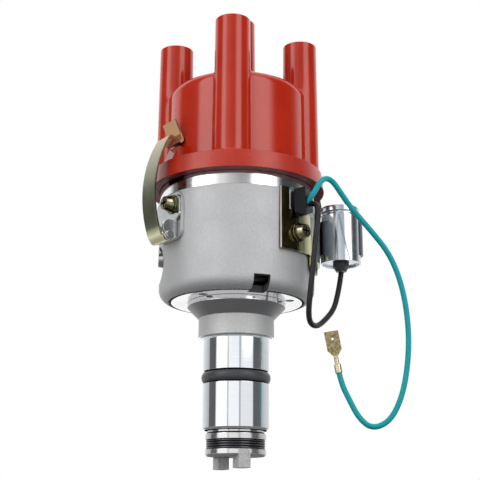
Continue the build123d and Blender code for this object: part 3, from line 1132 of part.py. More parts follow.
with BuildPart() as connector:
    neck_start = SPADE_CRIMP
    taper_start = neck_start + SPADE_NECK
    body_start = taper_start + SPADE_TAPER
    body_end = body_start + SPADE_BODY
    with BuildSketch(spade_section(0)):
        Circle(SPADE_CRIMP_RADIUS)
    extrude(amount=SPADE_CRIMP)
    with BuildSketch(spade_section(0)):
        Circle(LEAD_RADIUS + SHEET_GAP)
    extrude(amount=SPADE_GRIP + SHEET_GAP, mode=Mode.SUBTRACT)
    with BuildSketch(spade_section(neck_start)):
        Circle(SPADE_NECK_RADIUS)
    extrude(amount=SPADE_NECK + 0.6)
    with BuildSketch(spade_face.offset(SPADE_NECK_RADIUS)):
        with BuildLine():
            Polyline((-SPADE_NECK_RADIUS, taper_start - 1), (SPADE_NECK_RADIUS, taper_start - 1),
                     (SPADE_NECK_RADIUS, taper_start), (SPADE_WIDTH / 2, body_start),
                     (SPADE_WIDTH / 2, body_end), (-SPADE_WIDTH / 2, body_end),
                     (-SPADE_WIDTH / 2, body_start), (-SPADE_NECK_RADIUS, taper_start), close=True)
        make_face()
        with Locations((0, body_end - SPADE_HOLE_DROP)):
            Circle(SPADE_HOLE_RADIUS, mode=Mode.SUBTRACT)
    extrude(amount=-SPADE_SHEET)
    for sign in (-1, 1):
        with BuildSketch(spade_section(body_start)):
            with Locations((sign * (SPADE_WIDTH / 2 - SPADE_CURL_RADIUS),
                            SPADE_CURL_RADIUS - SPADE_NECK_RADIUS)):
                Circle(SPADE_CURL_RADIUS)
                Circle(SPADE_CURL_RADIUS - SPADE_SHEET, mode=Mode.SUBTRACT)
        extrude(amount=SPADE_BODY)
save(connector.part, "spade_connector")

# Condenser: can, the boot that its lead leaves by, and the strap that wraps the can and is
# screwed to the bowl
CAN_DISTANCE = math.hypot(*CONDENSER_CENTRE)
CAN_AZIMUTH = math.degrees(math.atan2(CONDENSER_CENTRE[1], CONDENSER_CENTRE[0]))
CRADLE_INNER = CONDENSER_RADIUS + SHEET_GAP
STRAP_OUTER = STRAP_RADIUS + CONDENSER_SHEET
TANGENT_TURN = CAN_AZIMUTH - math.degrees(math.acos((STRAP_OUTER + CRADLE_INNER) / CAN_DISTANCE))


def can_point(radius, azimuth):
    """A point round the condenser's own axis."""
    x, y = polar(radius, azimuth)
    return CONDENSER_CENTRE[0] + x, CONDENSER_CENTRE[1] + y


with BuildPart() as can:
    post(*CONDENSER_CENTRE, CONDENSER_BOTTOM, CONDENSER_TOP, CONDENSER_RADIUS)
    fillet(can.edges().filter_by(GeomType.CIRCLE).sort_by(Axis.Z)[-1], 1.2)
    with Locations((*CONDENSER_CENTRE, CONDENSER_TOP - 3.6)):
        Torus(CONDENSER_RADIUS + 0.5, 1.0, mode=Mode.SUBTRACT)
    post(*CONDENSER_CENTRE, CONDENSER_BOTTOM, CONDENSER_BOTTOM + CONDENSER_RECESS,
         CONDENSER_RADIUS - 0.7, mode=Mode.SUBTRACT)
    post(*CONDENSER_CENTRE, CONDENSER_TOP - 0.6, CONDENSER_TOP, CONDENSER_RADIUS - 2.2, mode=Mode.SUBTRACT)
save(can.part, "condenser_can")

with BuildPart() as boot:
    with Locations((*CONDENSER_CENTRE, CONDENSER_BOTTOM - BOOT_DROP)):
        Cone(BOOT_RADIUS - 1.2, BOOT_RADIUS, BOOT_DROP - 1.0, align=UP)
    post(*CONDENSER_CENTRE, CONDENSER_BOTTOM - 1.0, CONDENSER_BOTTOM + CONDENSER_RECESS - SHEET_GAP,
         BOOT_RADIUS)
save(boot.part, "condenser_boot")

with BuildPart() as strap:
    with BuildSketch(Plane.XY.offset(TONGUE_BOTTOM)):
        with BuildLine():
            wrap = ThreePointArc(polar(STRAP_OUTER, STRAP_START),
                                 polar(STRAP_OUTER, (STRAP_START + TANGENT_TURN) / 2),
                                 polar(STRAP_OUTER, TANGENT_TURN))
            side_line = Line(wrap @ 1, can_point(CRADLE_INNER, TANGENT_TURN + 180))
            ThreePointArc(side_line @ 1, can_point(CRADLE_INNER, 90), can_point(CRADLE_INNER, CRADLE_END))
            offset(amount=CONDENSER_SHEET, side=Side.LEFT)
        make_face()
    extrude(amount=STRAP_EAR_TOP - TONGUE_BOTTOM)
    with BuildSketch(Plane.XY.offset(STRAP_SHOULDER)):
        with BuildLine():
            Polyline(polar(STRAP_RADIUS - 2, STRAP_EAR_END), polar(STRAP_OUTER + 2, STRAP_EAR_END),
                     polar(1.2 * STRAP_OUTER, (STRAP_EAR_END + TANGENT_TURN) / 2),
                     polar(STRAP_OUTER + 2, TANGENT_TURN), polar(STRAP_RADIUS - 2, TANGENT_TURN),
                     polar(STRAP_RADIUS - 5, (STRAP_EAR_END + TANGENT_TURN) / 2), close=True)
        make_face()
    extrude(amount=STRAP_EAR_TOP - STRAP_SHOULDER, mode=Mode.SUBTRACT)
    with BuildSketch(Plane.XY.offset(CRADLE_TOP)):
        with Locations(CONDENSER_CENTRE):
            Rectangle(2.8 * CONDENSER_RADIUS, 3.4 * CONDENSER_RADIUS)
    extrude(amount=STRAP_EAR_TOP - CRADLE_TOP, mode=Mode.SUBTRACT)
    with BuildSketch(Plane.XY.offset(TONGUE_BOTTOM)):
        with Locations(CONDENSER_CENTRE):
            Circle(CRADLE_INNER + CONDENSER_SHEET + 0.6)
    extrude(amount=CRADLE_BOTTOM - TONGUE_BOTTOM, mode=Mode.SUBTRACT)
    with BuildSketch(face_plane(TONGUE_AZIMUTH, 0, 0)):
        with Locations((0, (TONGUE_BOTTOM + STRAP_BOTTOM) / 2)):
            Rectangle(4 * STRAP_OUTER, STRAP_BOTTOM - TONGUE_BOTTOM)
        with Locations((0, TONGUE_BOTTOM + TONGUE_WIDTH)):
            RectangleRounded(TONGUE_WIDTH, 2 * TONGUE_WIDTH, 0.4 * TONGUE_WIDTH, mode=Mode.SUBTRACT)
    extrude(amount=2 * CAN_DISTANCE, mode=Mode.SUBTRACT)
    with BuildSketch(face_plane(CONDENSER_SCREW_AZIMUTH, STRAP_RADIUS - 1, CONDENSER_SCREW_HEIGHT)):
        Circle(SCREW_RADIUS + SHEET_GAP)
    extrude(amount=CONDENSER_SHEET + 2, mode=Mode.SUBTRACT)
save(strap.part, "condenser_strap")
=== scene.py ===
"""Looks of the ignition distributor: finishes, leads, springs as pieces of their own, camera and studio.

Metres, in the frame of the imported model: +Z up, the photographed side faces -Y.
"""
import json
import math

import bmesh
import bpy
from mathutils import Matrix, Vector


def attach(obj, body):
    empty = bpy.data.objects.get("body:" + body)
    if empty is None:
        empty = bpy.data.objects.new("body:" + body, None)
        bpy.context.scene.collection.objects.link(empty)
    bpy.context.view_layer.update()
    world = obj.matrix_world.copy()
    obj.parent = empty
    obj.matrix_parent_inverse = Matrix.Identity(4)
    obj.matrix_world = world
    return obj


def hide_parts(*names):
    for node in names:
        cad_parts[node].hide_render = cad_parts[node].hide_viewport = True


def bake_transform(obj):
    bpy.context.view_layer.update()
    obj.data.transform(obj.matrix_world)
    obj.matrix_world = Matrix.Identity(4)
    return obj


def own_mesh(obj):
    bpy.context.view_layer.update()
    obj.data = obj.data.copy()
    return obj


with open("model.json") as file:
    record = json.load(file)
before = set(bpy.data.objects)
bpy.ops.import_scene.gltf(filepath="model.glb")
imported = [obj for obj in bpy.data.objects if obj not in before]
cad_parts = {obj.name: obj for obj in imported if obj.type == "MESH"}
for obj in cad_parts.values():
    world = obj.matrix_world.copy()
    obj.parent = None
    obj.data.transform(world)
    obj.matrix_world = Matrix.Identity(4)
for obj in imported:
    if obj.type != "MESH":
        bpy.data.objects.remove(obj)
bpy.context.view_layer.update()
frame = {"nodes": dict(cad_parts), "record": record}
NODES = frame["nodes"]
SLOT_OF = {row["node"]: row["material_slot"] for row in frame["record"]["subparts"]}
UP = Vector((0, 0, 1))


# Camera, as solved from the photograph, with lens and sensor in millimetres
CAMERA_PLACE = (0.0, -0.41161, -0.070765)
CAMERA_PITCH = math.radians(15.486)
CAMERA_YAW = math.radians(-0.187)
CAMERA_ROLL = math.radians(-0.296)
CAMERA_LENS = 75.38
CAMERA_SENSOR = 36
NEAREST_SEEN = 0.01


def add_camera():
    """The photograph's viewpoint, close below the neck and tipped up."""
    camera = bpy.data.objects.new("camera", bpy.data.cameras.new("camera"))
    bpy.context.scene.collection.objects.link(camera)
    rise, level = math.sin(CAMERA_PITCH), math.cos(CAMERA_PITCH)
    left, ahead = math.sin(CAMERA_YAW), math.cos(CAMERA_YAW)
    forward = Vector((-level * left, level * ahead, rise))
    right = Vector((ahead, left, 0))
    up = Vector((rise * left, -rise * ahead, level))
    across = right * math.cos(CAMERA_ROLL) - up * math.sin(CAMERA_ROLL)
    upright = right * math.sin(CAMERA_ROLL) + up * math.cos(CAMERA_ROLL)
    axes = Matrix((across, upright, -forward)).transposed().to_4x4()
    camera.matrix_world = Matrix.Translation(CAMERA_PLACE) @ axes
    camera.data.lens = CAMERA_LENS
    camera.data.sensor_width = CAMERA_SENSOR
    camera.data.clip_start = NEAREST_SEEN
    bpy.context.scene.camera = camera


# Building blocks of the materials: the stretch of a pattern that counts, and samples per look-up
TINT_GRAIN = (0.35, 0.65)
WIDE_GRAIN = (0.3, 0.7)
# Painted shade: how far ambient occlusion darkens base colours in corners and gaps, its reach and its
# samples
PAINTED_SHADE_RANGE = (0.35, 0.85)
PAINTED_SHADE_REACH = 0.0012
PAINTED_SHADE_SAMPLES = 8
EDGE_SAMPLES = 6


def new_material(name, color, metallic, roughness):
    """A material with its own surface shader: returns it, its node tree and its shader."""
    material = bpy.data.materials.new(name)
    material.use_nodes = True
    tree = material.node_tree
    shader = tree.nodes["Principled BSDF"]
    shader.inputs["Base Color"].default_value = (*color, 1)
    shader.inputs["Metallic"].default_value = metallic
    shader.inputs["Roughness"].default_value = roughness
    return material, tree, shader


def grain(tree, scale, detail, stretch=(1, 1, 1)):
    """A noise pattern fixed to the piece, as a socket with values about 0.5."""
    coordinates = tree.nodes.new("ShaderNodeTexCoord")
    mapping = tree.nodes.new("ShaderNodeMapping")
    mapping.inputs["Scale"].default_value = stretch
    noise = tree.nodes.new("ShaderNodeTexNoise")
    noise.inputs["Scale"].default_value = scale
    noise.inputs["Detail"].default_value = detail
    tree.links.new(coordinates.outputs["Object"], mapping.inputs["Vector"])
    tree.links.new(mapping.outputs["Vector"], noise.inputs["Vector"])
    return noise.outputs["Fac"]


def blend(tree, share, first, second):
    """A colour between two others, by a share from 0 to 1."""
    mix = tree.nodes.new("ShaderNodeMix")
    mix.data_type = "RGBA"
    tree.links.new(share, mix.inputs["Factor"])
    for socket, color in (("A", first), ("B", second)):
        if isinstance(color, tuple):
            mix.inputs[socket].default_value = (*color, 1)
        else:
            tree.links.new(color, mix.inputs[socket])
    return mix.outputs["Result"]


def spread(tree, value, low, high, start=0.0, end=1.0):
    """The value's stretch from low to high, spread over start to end."""
    span = tree.nodes.new("ShaderNodeMapRange")
    for name, number in (("From Min", low), ("From Max", high), ("To Min", start), ("To Max", end)):
        span.inputs[name].default_value = number
    tree.links.new(value, span.inputs["Value"])
    return span.outputs["Result"]


def arithmetic(tree, operation, *values):
    """One calculation on sockets or plain numbers."""
    node = tree.nodes.new("ShaderNodeMath")
    node.operation = operation
    for socket, value in zip(node.inputs, values):
        if isinstance(value, (int, float)):
            socket.default_value = value
        else:
            tree.links.new(value, socket)
    return node.outputs["Value"]


def color_ramp(tree, stops):
    """A colour ramp, from stops of a place between 0 and 1 and a colour."""
    ramp = tree.nodes.new("ShaderNodeValToRGB")
    elements = ramp.color_ramp.elements
    while len(elements) < len(stops):
        elements.new(0.5)
    for element, (place, color) in zip(elements, stops):
        element.position = place
        element.color = (*color, 1)
    return ramp


def shaded(color, share):
    """The colour at this share of its brightness."""
    return tuple(share * channel for channel in color)


def tint(tree, shader, pattern, dark, light, painted_shade_color, reach=PAINTED_SHADE_REACH):
    """The base colour wanders between two colours, and takes painted shade in corners and gaps that
    ambient occlusion finds within the reach.
    """
    color = blend(tree, spread(tree, pattern, *TINT_GRAIN), dark, light)
    occlusion = tree.nodes.new("ShaderNodeAmbientOcclusion")
    occlusion.inputs["Distance"].default_value = reach
    occlusion.samples = PAINTED_SHADE_SAMPLES
    unshaded_share = spread(tree, occlusion.outputs["AO"], *PAINTED_SHADE_RANGE)
    tree.links.new(blend(tree, unshaded_share, painted_shade_color, color), shader.inputs["Base Color"])


def roughen(tree, shader, pattern, low, high):
    """The roughness wanders between two values with the pattern."""
    tree.links.new(spread(tree, pattern, *WIDE_GRAIN, low, high), shader.inputs["Roughness"])


def emboss(tree, shader, pattern, depth, strength, edge):
    """The pattern raises and lowers the surface, and sharp edges get this rounding."""
    bump = tree.nodes.new("ShaderNodeBump")
    bump.inputs["Distance"].default_value = depth
    bump.inputs["Strength"].default_value = strength
    rounding = tree.nodes.new("ShaderNodeBevel")
    rounding.inputs["Radius"].default_value = edge
    rounding.samples = EDGE_SAMPLES
    tree.links.new(pattern, bump.inputs["Height"])
    tree.links.new(rounding.outputs["Normal"], bump.inputs["Normal"])
    tree.links.new(bump.outputs["Normal"], shader.inputs["Normal"])


# Kinds of surface: each has a grain for its colour, one for its roughness and one for its relief, and a
# colour of painted shade for its corners and gaps
def moulded(name, dark, light, roughness):
    """Glossy moulding: a faint flow in its colour and an almost smooth skin."""
    material, tree, shader = new_material(name, light, metallic=0, roughness=roughness)
    tint(tree, shader, grain(tree, scale=60, detail=4), dark, light, painted_shade_color=shaded(dark, 0.25))
    roughen(tree, shader, grain(tree, scale=350, detail=3), low=roughness * 0.85, high=roughness * 1.2)
    emboss(tree, shader, grain(tree, scale=900, detail=2), depth=0.00002, strength=0.12, edge=0.0003)
    return material


def cast(name, dark, light, metallic=0.92):
    """Blasted casting: matt, with a fine tight grain."""
    material, tree, shader = new_material(name, light, metallic, roughness=0.62)
    tint(tree, shader, grain(tree, scale=1500, detail=5), dark, light, painted_shade_color=shaded(dark, 0.3))
    roughen(tree, shader, grain(tree, scale=90, detail=3), low=0.58, high=0.68)
    emboss(tree, shader, grain(tree, scale=4200, detail=3), depth=0.00004, strength=0.3, edge=0.0003)
    return material


def machined(name, color, roughness, stretch=(1, 1, 60), marks=0.12):
    """Cut metal: fine tool marks, in rings round the axis unless the stretch says otherwise."""
    material, tree, shader = new_material(name, color, metallic=1, roughness=roughness)
    wear = grain(tree, scale=90, detail=3, stretch=stretch)
    shine = grain(tree, scale=160, detail=4, stretch=stretch)
    cuts = grain(tree, scale=260, detail=3, stretch=stretch)
    tint(tree, shader, wear, shaded(color, 0.93), color, painted_shade_color=shaded(color, 0.15), reach=0.0005)
    roughen(tree, shader, shine, low=roughness * 0.7, high=roughness * 1.5)
    emboss(tree, shader, cuts, depth=0.000004, strength=marks, edge=0.0002)
    return material


def plated(name, dark, light, roughness, clouds=110):
    """Zinc plating or worn brass: clouded and streaky, with clouds of this fineness."""
    material, tree, shader = new_material(name, light, metallic=1, roughness=roughness)
    tint(tree, shader, grain(tree, scale=clouds, detail=5), dark, light, painted_shade_color=shaded(dark, 0.12))
    roughen(tree, shader, grain(tree, scale=400, detail=4), low=roughness * 0.75, high=roughness * 1.4)
    emboss(tree, shader, grain(tree, scale=1200, detail=3), depth=0.00001, strength=0.15, edge=0.00025)
    return material


def matt(name, color, roughness, depth=0.00003, gloss=0.5, mottle=0.08):
    """Rubber, insulation, fibre, felt or a dull skin of metal: no metallic shine, a fine relief."""
    material, tree, shader = new_material(name, color, metallic=0, roughness=roughness)
    shader.inputs["Specular IOR Level"].default_value = gloss
    darker = shaded(color, 1 - mottle)
    lighter = tuple(min(1, channel + 0.001) for channel in shaded(color, 1 + mottle))
    tint(tree, shader, grain(tree, scale=300, detail=4), darker, lighter, painted_shade_color=shaded(color, 0.2))
    roughen(tree, shader, grain(tree, scale=500, detail=3), low=roughness * 0.85, high=roughness * 1.1)
    emboss(tree, shader, grain(tree, scale=1800, detail=3), depth=depth, strength=0.2, edge=0.0003)
    return material


# Spring steel of the clips: its olive colour by height with painted light on it (a painted highlight at
# the foot, painted shade along the bow, a painted reflection of the red cap at the hook), and the clouds
# over it
STRIP_COLORS_AND_LIGHT = [
    (0.034, (0.95, 0.92, 0.64)), (0.0372, (0.80, 0.78, 0.52)), (0.0415, (0.11, 0.12, 0.08)),
    (0.046, (0.08, 0.095, 0.065)), (0.058, (0.085, 0.10, 0.065)), (0.068, (0.26, 0.27, 0.19)),
    (0.077, (0.38, 0.32, 0.20)), (0.081, (0.47, 0.26, 0.14)), (0.088, (0.44, 0.23, 0.12)),
]
STRIP_FOOT = STRIP_COLORS_AND_LIGHT[0][0]
STRIP_END = STRIP_COLORS_AND_LIGHT[-1][0]
STRIP_PLAIN = (0.4, 0.34, 0.2)
STRIP_CLOUD = (0.30, 0.27, 0.15)
STRIP_CLOUD_SHARE = 0.3


def spring_strip(name):
    """Passivated olive spring steel with painted light by height: a pale painted highlight at the foot,
    dark green painted shade along the bow, a coppery painted reflection at the hook.
    """
    material, tree, shader = new_material(name, STRIP_PLAIN, metallic=1, roughness=0.16)
    coordinates = tree.nodes.new("ShaderNodeTexCoord")
    split = tree.nodes.new("ShaderNodeSeparateXYZ")
    tree.links.new(coordinates.outputs["Object"], split.inputs["Vector"])
    ramp = color_ramp(tree, [
        ((height - STRIP_FOOT) / (STRIP_END - STRIP_FOOT), color) for height, color in STRIP_COLORS_AND_LIGHT
    ])
    tree.links.new(spread(tree, split.outputs["Z"], STRIP_FOOT, STRIP_END), ramp.inputs["Fac"])
    cloud = spread(tree, grain(tree, scale=140, detail=5), *WIDE_GRAIN, 0.0, STRIP_CLOUD_SHARE)
    color = blend(tree, cloud, ramp.outputs["Color"], STRIP_CLOUD)
    tree.links.new(color, shader.inputs["Base Color"])
    roughen(tree, shader, grain(tree, scale=300, detail=4), low=0.12, high=0.22)
    emboss(tree, shader, grain(tree, scale=1200, detail=3), depth=0.00001, strength=0.15, edge=0.00025)
    return material


# Materials of the record's slots
CAP_REDS = ((0.365, 0.015, 0.003), (0.405, 0.020, 0.005))
LEAD_SKIN = {"depth": 0.000003, "mottle": 0.02}
MATERIALS = {
    "cast_housing": cast("cast_grey", (0.485, 0.488, 0.495), (0.54, 0.543, 0.55)),
    "cap_moulding": moulded("cap_red", *CAP_REDS, 0.12),
    "rotor_moulding": moulded("rotor_brown", (0.050, 0.014, 0.008), (0.075, 0.022, 0.012), 0.3),
    "black_rubber": matt("black_rubber", (0.010, 0.010, 0.011), 0.5, gloss=0.18),
    "lead_green": matt("lead_green", (0.0, 0.31, 0.345), 0.35, gloss=0.25, **LEAD_SKIN),
    "lead_black": matt("lead_black", (0.016, 0.014, 0.016), 0.35, gloss=0.3, **LEAD_SKIN),
    "yellow_zinc": plated("yellow_zinc", (0.48, 0.46, 0.26), (0.60, 0.58, 0.36), 0.16),
    "bright_zinc": plated("bright_zinc", (0.46, 0.48, 0.50), (0.68, 0.70, 0.71), 0.12, clouds=60),
    "clip_spring_steel": spring_strip("clip_steel"),
    "ground_steel": machined("ground_steel", (0.66, 0.66, 0.67), 0.1),
    "tinned_can": machined("tinned_can", (0.70, 0.74, 0.79), 0.17, marks=0.06),
    "brass": plated("brass", (0.34, 0.27, 0.11), (0.62, 0.53, 0.28), 0.2, clouds=260),
    "bronze_bush": machined("bronze_bush", (0.50, 0.33, 0.16), 0.35),
    "contact_tungsten": machined("contact_tungsten", (0.45, 0.46, 0.48), 0.25),
    "fibre_block": matt("fibre_block", (0.20, 0.09, 0.04), 0.6),
    "carbon": matt("carbon", (0.02, 0.02, 0.02), 0.6),
    "felt": matt("felt", (0.45, 0.38, 0.24), 0.95, depth=0.0002),
}

# Finishes of single regions and pieces, and the painted shade, painted shadows and painted highlight of
# single regions, by name
FINISHES_AND_PAINTED_LIGHT = {finish.name: finish for finish in (
    machined("turned_band", (0.84, 0.84, 0.85), 0.12, marks=0.2),
    machined("ground_shank", (0.86, 0.89, 0.93), 0.06, marks=0.08),
    cast("turned_collar", (0.56, 0.56, 0.565), (0.62, 0.62, 0.625), metallic=0.9),
    machined("turned_flare", (0.34, 0.34, 0.35), 0.42, marks=0.5),
    machined("turned_lip", (0.52, 0.52, 0.53), 0.14, marks=0.1),
    machined("faced_ring", (0.90, 0.90, 0.91), 0.12, stretch=(1, 1, 1)),
    machined("milled_pad", (0.62, 0.62, 0.62), 0.16, stretch=(1, 1, 30)),
    # painted shade on the walls of the housing's vent slot
    matt("hollow_painted_shade", (0.10, 0.10, 0.105), 0.8, gloss=0.1),
    matt("bare_casting", (0.55, 0.55, 0.56), 0.7, gloss=0.3),
    moulded("cap_skirt", *CAP_REDS, 0.3),
    # painted shade on the underside of the cap's skirt
    matt("underside_painted_shade", (0.14, 0.014, 0.016), 0.5, gloss=0.15),
    matt("seal_rubber", (0.044, 0.046, 0.051), 0.4, gloss=0.45),
    matt("grommet_rubber", (0.009, 0.0095, 0.011), 0.45, gloss=0.1),
    matt("shadow_line", (0.02, 0.02, 0.02), 0.9, gloss=0.0),
    plated("olive_zinc", (0.15, 0.14, 0.075), (0.46, 0.43, 0.27), 0.12, clouds=300),
    machined("wire_steel", (0.10, 0.10, 0.11), 0.25),
    cast("sintered_lug", (0.42, 0.42, 0.42), (0.56, 0.56, 0.56), metallic=0.6),
    machined("turned_dog", (0.72, 0.72, 0.73), 0.14, marks=0.3),
    # painted shade on the strap, in brown beside the cut end and in grey round the can
    plated("brown_painted_shade", (0.055, 0.045, 0.018), (0.16, 0.135, 0.06), 0.14),
    matt("grey_painted_shade", (0.13, 0.145, 0.165), 0.35, gloss=0.6),
    plated("brass_plate", (0.22, 0.17, 0.09), (0.46, 0.38, 0.21), 0.2, clouds=900),
    plated("brass_crimp", (0.55, 0.50, 0.34), (0.74, 0.68, 0.48), 0.25, clouds=300),
    # painted highlight on the strap's cut end
    matt("cut_edge_highlight", (0.72, 0.64, 0.60), 0.4, gloss=0.6),
)}
PIECE_FINISH = {
    "bracket_screws": "olive_zinc", "split_washers": "olive_zinc", "flat_washers": "olive_zinc",
    "dog_retaining_spring": "wire_steel", "drive_dog": "turned_dog", "o_ring": "seal_rubber",
    "condenser_boot": "seal_rubber", "lead_grommet": "grommet_rubber", "side_plug": "turned_lip",
}


# Tests on faces: how exactly a place has to fit, and how far a face may turn from a direction
SLACK = 0.00008
SAME_WAY = 0.99
LEVEL = 0.9
DOWNWARD = 0.8
FACING = 0.5
SQUARE = 0.1

# Regions of the housing: heights, distances from the axis, and azimuths in degrees
PILOT_RADIUS = 0.0135
GROOVE_SHADE_DEPTH = 0.0009
SHAFT_BORE_REACH = 0.009
COLLAR_FOOT = 0.0008
COLLAR_TOP = 0.00875
FLARE_TOP = 0.0136
FACE_HEIGHT = 0.0155
FACE_INNER = 0.0204
FACE_OUTER = 0.0273
CORNER_LINE = 0.0284
CORNER_RISE = 0.0006
FLOOR_TOP = 0.0185
CAST_TOP = 0.0575
INNER_RADIUS = 0.030
CUT_INNER = 0.0237
VENT_AZIMUTH = -72.0
VENT_HALF = 0.0034
VENT_BOTTOM = 0.0
VENT_TOP = 0.0211
NOTCH_AZIMUTH = -140.0
NOTCH_HALF = 0.0052
NOTCH_BOTTOM = 0.0615

# Azimuth and distance of the flats under the two clip brackets and round the side plug
MILLED_FLATS = ((215.0, 0.0334), (35.0, 0.0334), (186.0, 0.031))

# Regions of the cap
SKIRT_BOTTOM = 0.0634
SKIRT_TOP = 0.0725
SKIRT_INNER = 0.0355
KEY_TOP = 0.0659
KEY_INNER = 0.0285
KEY_OUTER = 0.0332

# Regions of the small pieces: each screw by its azimuth, its place sideways and its height
DOG_BOTTOM = -0.04685
SCREWS = ((215.0, 0.0034, 0.0518), (35.0, 0.0034, 0.0518), (-44.0, 0.0, 0.040))
RECESS_RADIUS = 0.0022
RECESS_FLOOR = 0.0371
HEAD_FACE = 0.03845
# Where the strap's painted highlight and painted shade begin and end, in degrees, and the height above
# which the grey shade lies
CUT_EDGE_AZIMUTH = -58.5
STRAP_BROWN_SHADE_END = -46.0
STRAP_GREY_SHADE_START = -30.0
TONGUE_TOP = 0.0388
SPADE_NECK_HEIGHT = -0.0066


def outwards(azimuth):
    """The level direction at this azimuth."""
    turn = math.radians(azimuth)
    return Vector((math.cos(turn), math.sin(turn), 0))


def on_plane(centre, normal, azimuth, distance):
    """Whether a face lies in the upright plane at this azimuth and distance."""
    direction = outwards(azimuth)
    return normal.dot(direction) > SAME_WAY and abs(centre.dot(direction) - distance) < SLACK


def in_cut(centre, normal, azimuth, half, bottom, top):
    """Whether a face is a wall, the floor, the roof or the back of a cut of this half width."""
    direction = outwards(azimuth)
    sideways = abs(centre.dot(direction.cross(UP)))
    if centre.dot(direction) < CUT_INNER - SLACK or not bottom - SLACK < centre.z < top + SLACK:
        return False
    upright = abs(normal.dot(direction)) < SQUARE and abs(normal.z) < SQUARE
    if abs(sideways - half) < SLACK and upright:
        return True
    if sideways >= half + SLACK:
        return False
    level = abs(normal.z) > LEVEL and min(abs(centre.z - bottom), abs(centre.z - top)) < SLACK
    return level or on_plane(centre, normal, azimuth, CUT_INNER)


def casting_finish_and_shade(centre, normal):
    """The finish of a face of the housing, or its painted shade: dark on the vent's walls, and painted
    shadow lines in the notch, the shank's groove and the bottom corner.
    """
    reach = math.hypot(centre.x, centre.y)
    facing = (normal.x * centre.x + normal.y * centre.y) / max(reach, SLACK)
    if in_cut(centre, normal, VENT_AZIMUTH, VENT_HALF, VENT_BOTTOM, VENT_TOP):
        return "hollow_painted_shade"
    if in_cut(centre, normal, NOTCH_AZIMUTH, NOTCH_HALF, NOTCH_BOTTOM, math.inf):
        return "shadow_line"
    if reach < INNER_RADIUS + SLACK and (centre.z > FLOOR_TOP - SLACK or reach < SHAFT_BORE_REACH):
        return "bare_casting"
    if centre.z > CAST_TOP and facing > FACING:
        return "turned_band"
    if centre.z < SLACK:
        return "ground_shank" if reach > PILOT_RADIUS - GROOVE_SHADE_DEPTH else "shadow_line"
    if centre.z < COLLAR_TOP + SLACK and facing > FACING:
        return "turned_collar" if centre.z > COLLAR_FOOT else "ground_shank"
    if reach < FACE_INNER + SLACK and centre.z < FACE_HEIGHT + SLACK:
        return "turned_lip" if centre.z > FLARE_TOP - SLACK else "turned_flare"
    if abs(centre.z - FACE_HEIGHT) < SLACK and reach < FACE_OUTER and normal.z < -LEVEL:
        return "faced_ring"
    if reach < CORNER_LINE and centre.z < FACE_HEIGHT + CORNER_RISE and normal.z < -DOWNWARD:
        return "shadow_line"
    if any(on_plane(centre, normal, azimuth, distance) for azimuth, distance in MILLED_FLATS):
        return "milled_pad"
    return None


def cap_finish_and_shade(centre, normal):
    """The finish of a face of the cap, or its painted shade: under the skirt, and a painted shadow on the
    key in the bowl's notch.
    """
    if abs(centre.z - SKIRT_BOTTOM) < SLACK and normal.z < -LEVEL:
        return "underside_painted_shade"
    reach = math.hypot(centre.x, centre.y)
    if centre.z < SKIRT_TOP and reach > SKIRT_INNER and abs(normal.z) < FACING:
        return "cap_skirt"
    direction = outwards(NOTCH_AZIMUTH)
    in_key = centre.z < KEY_TOP and KEY_INNER < centre.dot(direction) < KEY_OUTER
    if in_key and abs(centre.dot(direction.cross(UP))) < NOTCH_HALF:
        return "shadow_line"
    return None


def dog_finish(centre, normal):
    """The finish of a face of the drive dog: its lugs are as they were pressed."""
    return "sintered_lug" if centre.z < DOG_BOTTOM + SLACK else None


def screw_recess_shade(centre, normal):
    """The finish of a face of the bracket screws: a painted shadow in the cross recess."""
    for azimuth, side, height in SCREWS:
        direction = outwards(azimuth)
        across = UP.cross(direction)
        depth = centre.dot(direction)
        away = centre - direction * depth - across * side - UP * height
        if away.length < RECESS_RADIUS and RECESS_FLOOR < depth < HEAD_FACE:
            return "shadow_line"
    return None


def strap_painted_light(centre, normal):
    """The finish of a face of the strap: a painted highlight on the cut end, painted shade in brown beside
    it and in grey round the can.
    """
    azimuth = math.degrees(math.atan2(centre.y, centre.x))
    if azimuth < CUT_EDGE_AZIMUTH:
        return "cut_edge_highlight"
    if azimuth < STRAP_BROWN_SHADE_END:
        return "brown_painted_shade"
    return "grey_painted_shade" if azimuth > STRAP_GREY_SHADE_START and centre.z > TONGUE_TOP else None


def spade_finish(centre, normal):
    """The finish of a face of the spade connector: dull plate, pale crimp."""
    return "brass_plate" if centre.z > SPADE_NECK_HEIGHT else "brass_crimp"


RULES = {
    "distributor_housing": casting_finish_and_shade,
    "distributor_cap": cap_finish_and_shade,
    "drive_dog": dog_finish,
    "bracket_screws": screw_recess_shade,
    "condenser_strap": strap_painted_light,
    "spade_connector": spade_finish,
}


def dress(piece, node):
    """Give a node its own finish or its slot's material, and single faces the finish, painted shade or
    painted highlight that its rule names.
    """
    names = [None]
    piece.data.materials.clear()
    main = FINISHES_AND_PAINTED_LIGHT[PIECE_FINISH[node]] if node in PIECE_FINISH else MATERIALS[SLOT_OF[node]]
    piece.data.materials.append(main)
    if node not in RULES:
        return
    for face in piece.data.polygons:
        finish = RULES[node](face.center, face.normal)
        if finish not in names:
            names.append(finish)
            piece.data.materials.append(FINISHES_AND_PAINTED_LIGHT[finish])
        face.material_index = names.index(finish)


